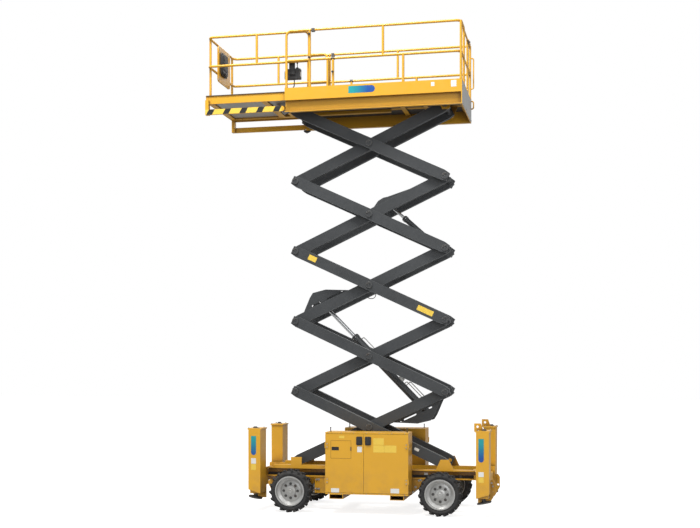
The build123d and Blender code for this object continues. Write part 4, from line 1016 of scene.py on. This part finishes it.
# ------------------------------------------------------------------ cabinets, outriggers and chassis
class LIFT_OT_cabinets(Operator):
    """Put latches, hinge leaves, lifting pins, screws, a hatch and blank plates on the side cabinets"""
    bl_idname = "lift.cabinets"
    bl_label = "Cabinet fittings"

    latch_width: FloatProperty(name="Latch width", description="Of a door's paddle latch", unit="LENGTH",
                               default=0.100)
    latch_height: FloatProperty(name="Latch height", description="Of a door's paddle latch", unit="LENGTH",
                                default=0.140)
    latch_z: FloatProperty(name="Latch place", description="Height of the latches above the ground",
                           unit="LENGTH", default=1.220)
    screws: IntProperty(name="Screws", description="In each edge of a cabinet", default=7)

    def execute(self, context):
        for side_name, side in SIDES:
            cabinet, out = f"cabinet_{side_name}", Y * side
            front, rear = f"door_{side_name}_front", f"door_{side_name}_rear"
            face, split = outer_y(cabinet, side), (low(front).x + high(rear).x) / 2
            self.door(front, out_frame((split + 0.074, face, self.latch_z), out), high(front).x - 0.043)
            self.door(rear, out_frame((split - 0.074, face, self.latch_z), out), low(rear).x + 0.043)
            start, stop = low(cabinet), high(cabinet)
            with piece(f"lifting_pins_{side_name}", "dark steel", "chassis") as build:
                for x in (start.x + 0.050, stop.x - 0.045):
                    foot = axis_frame((x, middle(cabinet).y, stop.z), Z)
                    add_turned(build, "lifting pin", foot, 20)
            step = (stop.x - start.x - 0.12) / (self.screws - 1)
            spots = [Vector((start.x + 0.06 + step * i, face, z))
                     for z in (start.z + 0.011, stop.z - 0.011) for i in range(self.screws)]
            bolts(f"cabinet_screws_{side_name}", facing(spots, out), M5, "zinc plate", "chassis")
        self.hatch(high("cabinet_left").y)
        # blank plates of the left doors: place ahead of the stack's middle, height, size, finish
        plates = ((0.070, 1.080, 0.078, 0.093, "white label"),
                  (0.373, 1.281, 0.090, 0.040, "yellow label"),
                  (0.485, 0.393, 0.138, 0.070, "white label"),
                  (-0.2504, 1.2146, 0.177, 0.110, "yellow label"),
                  (-0.2546, 1.093, 0.186, 0.118, "yellow label"),
                  (-0.4496, 1.093, 0.200, 0.118, "yellow label"),
                  (-0.5226, 0.405, 0.144, 0.076, "white label"))
        for number, (ahead, z, width, height, paint) in enumerate(plates, 1):
            place = out_frame(ahead_of_stack(ahead, high("cabinet_left").y, z), Y)
            label(f"door_plate_{number}", place, width, height, paint,
                  "door_left_front" if ahead > 0 else "door_left_rear")
        return {"FINISHED"}

    def door(self, leaf, latch, hinge_x):
        """Paddle latch and hinge leaves of one door."""
        out = latch.to_3x3() @ Y
        with piece(f"latch_{leaf}", "black plastic", leaf, 0.0015) as build:
            width, height = self.latch_width, self.latch_height
            add_plate(build, latch, width, height, 0.010, 0.018)
            add_plate(build, moved(latch, 0, 0.009, -0.012), width * 0.66, height * 0.62, 0.009, 0.012)
            lock = moved(latch, 0, 0.010, 0.046) @ Matrix.Rotation(-pi / 2, 4, "X")
            add_turned(build, "latch lock", lock, 16)
        spots = []
        with piece(f"hinge_leaves_{leaf}", "body paint", leaf) as build:
            for z in (low(leaf).z + 0.195, high(leaf).z - 0.195):
                hinge = out_frame((hinge_x, latch.translation.y, z), out)
                add_plate(build, hinge, 0.046, 0.090, 0.004)
                spots += [hinge @ Vector((0, 0.004, rise)) for rise in (-0.026, 0.026)]
        bolts(f"hinge_bolts_{leaf}", facing(spots, out), M8, "zinc plate", leaf)

    def hatch(self, face):
        """Sunk grip, seam and catch of the hatch in the left front door."""
        body, middle_z, seam = "door_left_front", 1.087, 0.004
        (rear, bottom), (front, top) = (0.212, 0.924), (0.560, 1.223)
        with piece("grip_well", "black plastic", body, 0.001) as build:
            grip = out_frame(ahead_of_stack(0.4825, face - 0.0135, middle_z), Y)
            add_plate(build, grip, 0.123, 0.058, 0.006, 0.004)
        with piece("hatch_seal", "brown seam", body) as build:
            for start, stop, below, above in (
                    (rear, front, bottom, bottom + seam), (rear, front, top - seam, top),
                    (rear, rear + seam, bottom, top), (front - seam, front, bottom, top)):
                add_box(build, ahead_of_stack(start, face - SINK, below),
                        ahead_of_stack(stop, face + SEAM, above))
        with piece("hatch_catch", "dark steel", body, 0.001) as build:
            catch = out_frame(ahead_of_stack(rear + seam, face, middle_z), Y)
            add_plate(build, catch, 0.014, 0.064, 0.006, 0.005)


class LIFT_OT_outriggers(Operator):
    """Put cap bolts, ram nuts, patches and blank plates on the outriggers"""
    bl_idname = "lift.outriggers"
    bl_label = "Outrigger fittings"

    cap_z: FloatProperty(name="Cap height", description="Top of the columns' caps above the ground",
                         unit="LENGTH", default=1.407)

    def execute(self, context):
        for corner, side in CORNERS:
            leg, outer = middle(f"leg_{corner}"), outer_y(f"outrigger_{corner}", side)
            spots = [Vector((leg.x + dx, outer - side * inset, self.cap_z))
                     for dx in (-0.09, 0.09) for inset in (0.03, 0.33)]
            bolts(f"cap_bolts_{corner}", facing(spots, Z), M12, "zinc plate", "chassis")
            with piece(f"ram_nut_{corner}", "dark steel", "chassis") as build:
                add_turned(build, "ram nut", axis_frame((leg.x, leg.y, self.cap_z), Z), 28)
        # left columns: a patch, and below it a white and a yellow plate that share a span of heights
        face = high("outrigger_front_left").y
        for end, ahead, top, bottom, plates_top, plates_bottom in (
                ("front", 1.898, 1.277, 0.956, 0.905, 0.700), ("rear", -1.936, 1.281, 0.900, 0.747, 0.569)):
            place = out_frame(ahead_of_stack(ahead, face, (top + bottom) / 2), Y)
            patch(f"column_patch_{end}", place, 0.088, top - bottom, "column patch", "chassis")
            split = (plates_top + plates_bottom) / 2 + 0.004
            for part, above, below, paint in (("upper", plates_top, split, "white label"),
                                              ("lower", split, plates_bottom, "yellow label")):
                place = out_frame(ahead_of_stack(ahead, face, (above + below) / 2), Y)
                label(f"column_plate_{end}_{part}", place, 0.086, above - below - 0.006, paint, "chassis")
        return {"FINISHED"}


class LIFT_OT_chassis(Operator):
    """Put bolts, hoses, clamps and a blank plate on the chassis"""
    bl_idname = "lift.chassis"
    bl_label = "Chassis fittings"

    plate_face: FloatProperty(name="Side plate face", description="Of the plates between the wheels",
                              unit="LENGTH", default=0.440)
    mount_face: FloatProperty(name="Mount plate face", description="Of the outriggers' mount plates",
                              unit="LENGTH", default=0.530)
    hose_radius: FloatProperty(name="Hose radius", description="Of the hoses along the rails",
                               unit="LENGTH", default=0.009)

    def execute(self, context):
        # bolts of the plates between the wheels: place ahead of the stack's middle and height
        plate_bolts = ((-0.89, 0.55), (-0.86, 0.54), (-0.80, 0.43), (-0.76, 0.34), (0.87, 0.52),
                       (0.91, 0.52), (0.87, 0.36), (0.91, 0.36), (-0.36, 0.40), (0.0, 0.40), (0.28, 0.40))
        spots = [(ahead_of_stack(ahead, side * self.plate_face, z), Y * side)
                 for _, side in SIDES for ahead, z in plate_bolts]
        bolts("side_plate_bolts", spots, M16, "zinc plate", "chassis")
        spots = []
        for end, _ in ENDS:
            x = middle(f"{end}_axle").x
            # the saddles' bolts, which look down, then the rims of the differential's bowl
            for _, side in SIDES:
                spots += facing([Vector((x + dx, side * 0.405, 0.565)) for dx in (-0.13, 0.13)], -Z)
            for _, side in SIDES:
                spots += facing(ring_of(Vector((x, side * 0.0805, 0.36)), 0.098, 8, 0.2), Y * side)
        bolts("axle_bolts", spots, M14, "zinc plate", "chassis")
        # bolts of the mount plates: how far in from the machine's tips, and height
        tips = ((high("tie_down_eyes").x, 1), (low("tie_down_eyes").x, -1))
        inside = ((0.060, 0.535), (0.040, 0.480), (0.110, 0.300), (0.075, 0.535))
        spots = [(Vector((tip - end * inset, side * self.mount_face, z)), Y * side)
                 for (tip, end), (_, side), (inset, z) in product(tips, SIDES, inside)]
        bolts("mount_plate_bolts", spots, M12, "zinc plate", "chassis")
        label("rail_plate", out_frame(ahead_of_stack(-0.966, 0.357, 0.640), Y), 0.066, 0.050, "white label",
              "chassis", 0.004)
        # the hoses wander a little along the rails: place ahead, sway outwards, lift
        sway = ((-1.77, 0.0, 0.0), (-1.4, 0.004, 0.002), (-0.9, -0.003, -0.003), (-0.4, 0.004, 0.002),
                (0.1, -0.004, 0.003), (0.6, 0.003, -0.002), (1.1, -0.003, 0.002), (1.77, 0.0, 0.0))
        for side_name, side in SIDES:
            for number, z in enumerate((0.600, 0.622), 1):
                route = [ahead_of_stack(ahead, side * (0.385 + out), z + lift) for ahead, out, lift in sway]
                pipe(f"rail_hose_{side_name}_{number}", route, self.hose_radius, "black rubber", "chassis")
            with piece(f"hose_clamps_{side_name}", "dark steel", "chassis", 0.002) as build:
                for ahead in (-1.55, -1.05, -0.45, 0.15, 0.75, 1.45):
                    add_box(build, ahead_of_stack(ahead - 0.016, side * 0.356, 0.586),
                            ahead_of_stack(ahead + 0.016, side * 0.398, 0.636))
        return {"FINISHED"}


# ------------------------------------------------------------------ platform
class LIFT_OT_treads(Operator):
    """Lay tread plates with raised lozenges on both floors"""
    bl_idname = "lift.treads"
    bl_label = "Tread plates"

    pitch: FloatProperty(name="Pitch", description="Between the tread's lozenges", unit="LENGTH",
                         default=0.055)

    def execute(self, context):
        rear, front = low("extension_deck").x, high("extension_deck").x
        half = Platform.board_inner - 0.003
        # floor, rear, front, height, body
        floors = (("main_tread", Platform.rear_face + 0.020, rear - 0.004, Platform.floor, "platform"),
                  ("extension_tread", rear + 0.004, front - 0.020, Platform.extension_floor, "extension"))
        for name, start, stop, z, body in floors:
            with piece(name, "worn tread", body) as build:
                add_box(build, (start, -half, z - 0.001), (stop, half, z + 0.0015))
            sizes = {"Length": stop - start - 0.06, "Width": 2 * half - 0.06, "Pitch": self.pitch,
                     "Lozenge": (0.019, 0.006, 0.0022), "Centre": ((stop + start) / 2, 0.0, z + 0.0020)}
            grow(f"{name}_lozenges", bpy.data.meshes.new(name), tread_tree, sizes, "worn tread", body)
        return {"FINISHED"}


class LIFT_OT_deck_sheets(Operator):
    """Put cover sheets, painted-shade sheets under the main floor, a patch, blank plates, lip strips and the bars'
    hazard marks on the platform
    """
    bl_idname = "lift.deck_sheets"
    bl_label = "Deck sheets and marks"

    marks: IntProperty(name="Marks", description="Black slants on each bar of the extension", default=5)
    mark_step: FloatProperty(name="Mark step", description="Between the slants", unit="LENGTH",
                             default=0.297)
    mark_rear: FloatProperty(name="First mark", description="Of the rearmost slant, ahead of the stack",
                             unit="LENGTH", default=1.516)

    def execute(self, context):
        bottom, top, rear_face = Platform.channel_bottom, Platform.board_top, Platform.rear_face
        with piece("rear_sheet", "galvanised plate", "platform") as build:
            add_plate(build, out_frame((rear_face, 0, (bottom + top) / 2), -X), 2 * Platform.half - 0.012,
                      top - bottom - 0.010, 0.0015, 0.004)
        spots = [Vector((rear_face - 0.0015, y, z)) for y in (-0.72, -0.43, -0.15, 0.15, 0.43, 0.72)
                 for z in (bottom + 0.035, top - 0.030)]
        bolts("rear_sheet_bolts", facing(spots, -X), SHEET_BOLT, "zinc plate", "platform")
        rear, front = low("extension_deck").x, high("extension_deck").x
        # between the extension's cross beams
        face, centre = Platform.extension_floor - 0.010, Stack.centre.x
        with piece("extension_underside", "galvanised plate", "extension") as build:
            spans = ((rear + 0.105, centre + 1.745), (centre + 1.855, front - 0.105))
            for (start, stop), (_, side) in product(spans, SIDES):
                add_box(build, (start, side * 0.080, face - 0.0015), (stop, side * 0.590, face + SEAM))
        # left toe board: a patch, then blank plates by place ahead, depth below the board's top, size
        place = out_frame(ahead_of_stack(0.058, Platform.half, top - 0.0875), Y, X)
        patch("board_patch", place, 0.117, 0.450, "board patch", "platform")
        plates = ((-1.479, 0.074, 0.090, 0.107), (-1.134, 0.068, 0.058, 0.066))
        for number, (ahead, below, width, height) in enumerate(plates, 1):
            place = out_frame(ahead_of_stack(ahead, Platform.half, top - below), Y)
            label(f"board_plate_{number}", place, width, height, "white label", "platform")
        self.strips_and_sheets(rear, front)
        self.hazard_marks(front)
        return {"FINISHED"}

    def strips_and_sheets(self, rear, front):
        """Strips along the extension's lips, and near-black sheets of painted shade under the main floor."""
        with piece("lip_strips", "black rubber", "extension", 0.001) as build:
            lip, z = Platform.lip_face, Platform.lip_middle
            for _, side in SIDES:
                add_box(build, (rear + 0.003, side * (lip - SINK), z - 0.005),
                        (front - 0.003, side * (lip + 0.003), z + 0.005))
        # painted shade: near-black sheets between the deck's cross beams, inside the arms and outside them
        with piece("deck_underside_painted_shade", "painted shade sheet", "platform") as build:
            across = ((0.0, Stack.inner_arm_face - 0.004), (0.350, Platform.board_inner - 0.012))
            beams = ((-1.498, -0.942), (-0.858, -0.542), (-0.458, 1.384))
            for (start, stop), (near, far), (_, side) in product(beams, across, SIDES):
                add_box(build, ahead_of_stack(start, side * near, Platform.floor - 0.0265),
                        ahead_of_stack(stop, side * far, Platform.floor - 0.0245))

    def hazard_marks(self, front):
        """Yellow band with black slants on each bar of the extension."""
        # half the marks' height, half a slant's width, and how far each of its ends leans
        half, width, lean = 0.044, 0.054, 0.024
        x, z = Stack.centre.x + self.mark_rear, Platform.bar_middle
        slant = ((x - width + lean, z - half), (x + width + lean, z - half), (x + width - lean, z + half),
                 (x - width - lean, z + half))
        for side_name, side in SIDES:
            inner = side * (Platform.bar_face - SINK)
            with piece(f"hazard_band_{side_name}", "yellow label", "extension") as build:
                add_box(build, ahead_of_stack(1.440, inner, z - half),
                        (front - 0.004, side * (Platform.bar_face + SEAM), z + half))
            build = bmesh.new()
            add_prism(build, slant, inner, side * (Platform.bar_face + 0.0016))
            sizes = {"Count": self.marks, "Step": (self.mark_step, 0.0, 0.0)}
            grow(f"hazard_marks_{side_name}", closed_mesh("hazard mark", build), row_tree, sizes,
                 "black hazard film", "extension")


class LIFT_OT_deck_fittings(Operator):
    """Put the posts' collars and the bars' guide rollers on the platform"""
    bl_idname = "lift.deck_fittings"
    bl_label = "Deck fittings"

    roller_ahead: FloatProperty(name="Roller place", description="Of the guide rollers, ahead of the stack",
                                unit="LENGTH", default=1.405)

    def execute(self, context):
        with piece("post_collars", "body paint", "platform", 0.001) as build:
            for (_, side), x in product(SIDES, Platform.feet):
                foot = axis_frame((x, side * Platform.rail_y, Platform.board_top), Z)
                add_turned(build, "post collar", foot, 28)
        # guide roller and its bracket under the front end of each side channel
        x, z = Stack.centre.x + self.roller_ahead, Platform.channel_bottom - 0.0085
        outline = [(x + ahead, z + above) for ahead, above in (
            (-0.022, -0.036), (0.030, -0.0088), (0.030, 0.0152), (-0.022, 0.020), (-0.090, 0.020),
            (-0.090, -0.0056))]
        for side_name, side in SIDES:
            with piece(f"guide_roller_{side_name}", "black plastic", "platform") as build:
                add_turned(build, "guide roller", axis_frame((x, side * 0.732, z), Y * side), 28)
            with piece(f"roller_bracket_{side_name}", "dark steel", "platform") as build:
                for near in (0.727, 0.7645):
                    add_prism(build, outline, side * near, side * (near + 0.0045))
        return {"FINISHED"}


class LIFT_OT_guardrail(Operator):
    """Put latches, knobs, clamps and the document box on the guardrails"""
    bl_idname = "lift.guardrail"
    bl_label = "Guardrail fittings"

    box_width: FloatProperty(name="Box width", description="Of the document box on the front panel",
                             unit="LENGTH", default=0.300)

    def execute(self, context):
        top, mid, hoop, post = Platform.top_rail, Platform.mid_rail, Platform.hoop_x, Platform.upper_post_x
        for side_name, side in SIDES:
            y = side * Platform.rail_y
            # a collar on the middle rail and a latch on the top rail, beside the hoop
            with piece(f"rail_clamps_{side_name}", "dark steel", "platform") as build:
                add_turned(build, "rail clamp", axis_frame((post, y, mid), X), 28)
                latch = Vector((hoop - 0.060, y, top))
                add_box(build, latch - Vector((0.028, 0.024, 0.033)), latch + Vector((0.028, 0.024, 0.020)))
            with piece(f"rail_knobs_{side_name}", "black plastic", "platform") as build:
                for x, z in ((hoop, top - 0.075), (hoop, mid + 0.030), (post, mid - 0.235)):
                    knob = axis_frame((x, y + side * 0.020, z), Y * side)
                    add_turned(build, "rail knob", knob, 16)
            with piece(f"extension_feet_{side_name}", "body paint", "extension", 0.001) as build:
                for x, y in Platform.extension_feet:
                    foot = Vector((x, side * y, Platform.extension_floor))
                    add_turned(build, "foot collar", axis_frame(foot, Z), 28)
                    add_box(build, foot - Vector((0.034, 0.020, 0.001)),
                            foot + Vector((0.034, 0.020, 0.004)))
        self.front_panel()
        self.gate()
        return {"FINISHED"}

    def front_panel(self):
        """Document box with a rounded lid, and the panel's four bolts."""
        rear, centre_z = low("front_panel").x, middle("front_panel").z
        box = out_frame((rear, 0.065, centre_z + 0.015), -X)
        with piece("document_box", "black plastic", "extension", 0.004) as build:
            add_plate(build, box, self.box_width, 0.400, 0.034, 0.045)
            add_plate(build, box, self.box_width * 0.90, 0.365, 0.052, 0.050)
            add_plate(build, moved(box, 0, 0.050, 0.010), self.box_width * 0.64, 0.230, 0.008, 0.030)
            add_plate(build, moved(box, 0, 0.050, -0.155), 0.070, 0.034, 0.014, 0.010)
        spots = [Vector((rear, y, centre_z + dz)) for y in (-0.250, 0.290) for dz in (-0.28, 0.28)]
        bolts("panel_bolts", facing(spots, -X), SHEET_BOLT, "zinc plate", "extension")

    def gate(self):
        """Latch on the gate's post away from its hinge."""
        side = -1 if joint("gate_hinge")["pos_m"][1] > 0 else 1
        post = middle("entry_gate")
        post.y, post.z = outer_y("entry_gate", side) - side * 0.020, Platform.top_rail - 0.075
        with piece("gate_latch", "dark steel", "gate") as build:
            add_plate(build, out_frame(post - X * 0.016, -X), 0.052, 0.070, 0.010, 0.008, 0.003)
            add_turned(build, "gate knob", axis_frame(post - X * 0.024, -X), 20)


class LIFT_OT_controls(Operator):
    """Put the joystick, switches, stop button, blank plates and conduit on the control box"""
    bl_idname = "lift.controls"
    bl_label = "Controls"

    stick_height: FloatProperty(name="Stick height", description="Of the joystick above its boot",
                                unit="LENGTH", default=0.105)
    conduit_radius: FloatProperty(name="Conduit radius", description="Of the cable below the control box",
                                  unit="LENGTH", default=0.009)

    def execute(self, context):
        rear, right, base = Platform.console
        length, depth, height = Platform.console_size
        top, mid_y, stick = base + height, right + depth / 2, self.stick_height
        with piece("joystick", "black plastic", "extension") as build:
            boot = ((0.032, -0.001), (0.034, 0.004), (0.028, 0.010), (0.030, 0.014), (0.023, 0.020),
                    (0.024, 0.024), (0.014, 0.032), (0.007, 0.034))
            grip = ((0.007, 0.034 + stick * 0.5), (0.015, 0.040 + stick * 0.6),
                    (0.018, 0.034 + stick * 0.85), (0.014, 0.034 + stick), (0, 0.036 + stick))
            add_turned(build, boot + grip, axis_frame((rear + 0.060, mid_y, top), Z), 28)
        stop = axis_frame((rear + length * 0.78, mid_y, top - 0.001), Z)
        for name, profile, paint in (("stop_button", "stop button", "red knob"),
                                     ("stop_collar", "stop collar", "yellow label")):
            with piece(name, paint, "extension") as build:
                add_turned(build, profile, stop, 28)
        with piece("switches", "dark steel", "extension") as build:
            for column, row in product(range(3), range(2)):
                key = (rear + length * (0.46 + 0.075 * column), mid_y + 0.018 - 0.036 * row, top)
                add_turned(build, "toggle switch", axis_frame(key, Z), 14)
        with piece("console_plates", "white label", "extension") as build:
            add_plate(build, out_frame((rear + length * 0.36, mid_y, top), Z, X), 0.060, 0.030, FILM, 0.004)
            add_plate(build, out_frame((rear, mid_y, top - 0.085), -X), 0.070, 0.075, FILM)
        self.conduit(rear + length / 2, mid_y, base)
        return {"FINISHED"}

    def conduit(self, x, y, base):
        """Cable from the control box down to the floor, with its glands and a clip."""
        wall, floor = Platform.board_inner, Platform.extension_floor
        route = [Vector((x, *place)) for place in (
            (y, base + 0.006), (y, base - 0.04), (y + 0.002, base - 0.12), (wall - 0.030, base - 0.16),
            (wall - 0.016, base - 0.20), (wall - 0.014, floor + 0.010))]
        pipe("control_conduit", route, self.conduit_radius, "black rubber", "extension")
        with piece("conduit_glands", "dark steel", "extension", 0.001) as build:
            add_turned(build, "box gland", axis_frame(route[0], Z), 20)
            add_box(build, (x - 0.020, wall - 0.026, floor + 0.037),
                    (x + 0.020, wall + 0.001, floor + 0.053))
            add_turned(build, "floor gland", axis_frame((x, wall - 0.014, floor), Z), 20)


# ------------------------------------------------------------------ studio
class LIFT_OT_studio(Operator):
    """Lay the floor, hang the lamps and set the camera"""
    bl_idname = "lift.studio"
    bl_label = "Studio"

    def execute(self, context):
        self.floor()
        self.lamps(context.scene)
        self.world(context.scene)
        self.camera(context.scene)
        context.scene.view_settings.view_transform = "Standard"
        return {"FINISHED"}

    def floor(self):
        build = bmesh.new()
        bmesh.ops.create_grid(build, x_segments=1, y_segments=1, size=60)
        pale = Finish("pale floor", (0.42, 0.42, 0.42), 0.9)
        pale.stain(pale.clouds(0.5, 0.3, 0.7, 0.0, 0.3), (0.41, 0.41, 0.41))
        # the camera sees the floor lifted to white, with the machine's soft shadow kept
        seen = pale.node("ShaderNodeLightPath").outputs["Is Camera Ray"]
        glow = pale.node("ShaderNodeEmission", {"Strength": seen, "Color": (0.80, 0.80, 0.80, 1)})
        both = pale.node("ShaderNodeAddShader", {0: pale.surface.outputs["BSDF"],
                                                 1: glow.outputs["Emission"]})
        pale.link(both.outputs["Shader"], pale.out.inputs["Surface"])
        mesh_object("floor", closed_mesh("floor", build), pale.material)

    def lamps(self, scene):
        aim = Vector((Stack.centre.x, 0, 3.6))
        # name, where from the aim, width, power, tint
        table = (
            ("key", Vector((3.0, 6.0, 14.0)), 4.5, 3100, (1.0, 0.985, 0.96)),
            ("fill", Vector((-8.0, 13.0, 4.0)), 11.0, 700, (0.98, 0.99, 1.0)),
            ("back", Vector((3.0, -12.0, 9.0)), 8.0, 500, (1.0, 1.0, 1.0)),
        )
        for name, away, width, power, tint in table:
            light = bpy.data.lights.new(name, "AREA")
            light.size = width
            light.energy = power
            light.color = tint
            self.hang(scene, name, light, aim + away, away)

    def hang(self, scene, name, data, place, away):
        """Object of a lamp or camera at a place, which looks against a direction."""
        made = bpy.data.objects.new(name, data)
        made.location = place
        made.rotation_euler = (-away).to_track_quat("-Z", "Y").to_euler()
        scene.collection.objects.link(made)
        return made

    def world(self, scene):
        """White to the camera, a soft pale blue to the machine."""
        scene.world = bpy.data.worlds.new("studio")
        scene.world.use_nodes = True
        tree = scene.world.node_tree
        tree.nodes.clear()
        lit, seen = (new_node(tree, "ShaderNodeBackground", {"Strength": strength, "Color": colour})
                     for strength, colour in ((0.55, (0.98, 0.99, 1, 1)), (1.0, (1, 1, 1, 1))))
        camera_ray = new_node(tree, "ShaderNodeLightPath").outputs["Is Camera Ray"]
        mix = new_node(tree, "ShaderNodeMixShader", {0: camera_ray, 1: lit.outputs[0], 2: seen.outputs[0]})
        new_node(tree, "ShaderNodeOutputWorld", {0: mix.outputs[0]})

    def camera(self, scene):
        view = scene.lift_studio
        aim = Vector((Stack.centre.x + view.aim_ahead, 0, view.eye_height))
        back = Vector((-sin(view.turn), cos(view.turn), 0))
        camera = bpy.data.cameras.new("camera")
        camera.lens = view.focal_length
        camera.sensor_width = 36
        camera.shift_y = view.rise
        camera.clip_end = 200
        scene.camera = self.hang(scene, "camera", camera, aim + back * view.distance, back)


class LIFT_PT_panel(Panel):
    """Lists the lift's pieces in the order in which they are made"""
    bl_idname = "LIFT_PT_panel"
    bl_label = "Scissor lift"
    bl_space_type = "VIEW_3D"
    bl_region_type = "UI"
    bl_category = "Lift"

    def draw(self, context):
        for step in OPERATORS:
            self.layout.operator(step.bl_idname)


OPERATORS = (
    LIFT_OT_finishes, LIFT_OT_wheels, LIFT_OT_pins, LIFT_OT_arm_welds, LIFT_OT_arm_fittings,
    LIFT_OT_cylinders, LIFT_OT_cabinets, LIFT_OT_outriggers, LIFT_OT_chassis, LIFT_OT_treads,
    LIFT_OT_deck_sheets, LIFT_OT_deck_fittings, LIFT_OT_guardrail, LIFT_OT_controls,
    LIFT_OT_studio,
)
CLASSES = (LiftColours, StudioSettings, *OPERATORS, LIFT_PT_panel)


def register():
    for made in CLASSES:
        bpy.utils.register_class(made)
    bpy.types.Scene.lift_colours = PointerProperty(type=LiftColours)
    bpy.types.Scene.lift_studio = PointerProperty(type=StudioSettings)


def unregister():
    del bpy.types.Scene.lift_colours
    del bpy.types.Scene.lift_studio
    for made in reversed(CLASSES):
        bpy.utils.unregister_class(made)


def main():
    register()
    for step in OPERATORS:
        group, name = step.bl_idname.split(".")
        getattr(getattr(bpy.ops, group), name)()


if __name__ == "__main__":
    main()
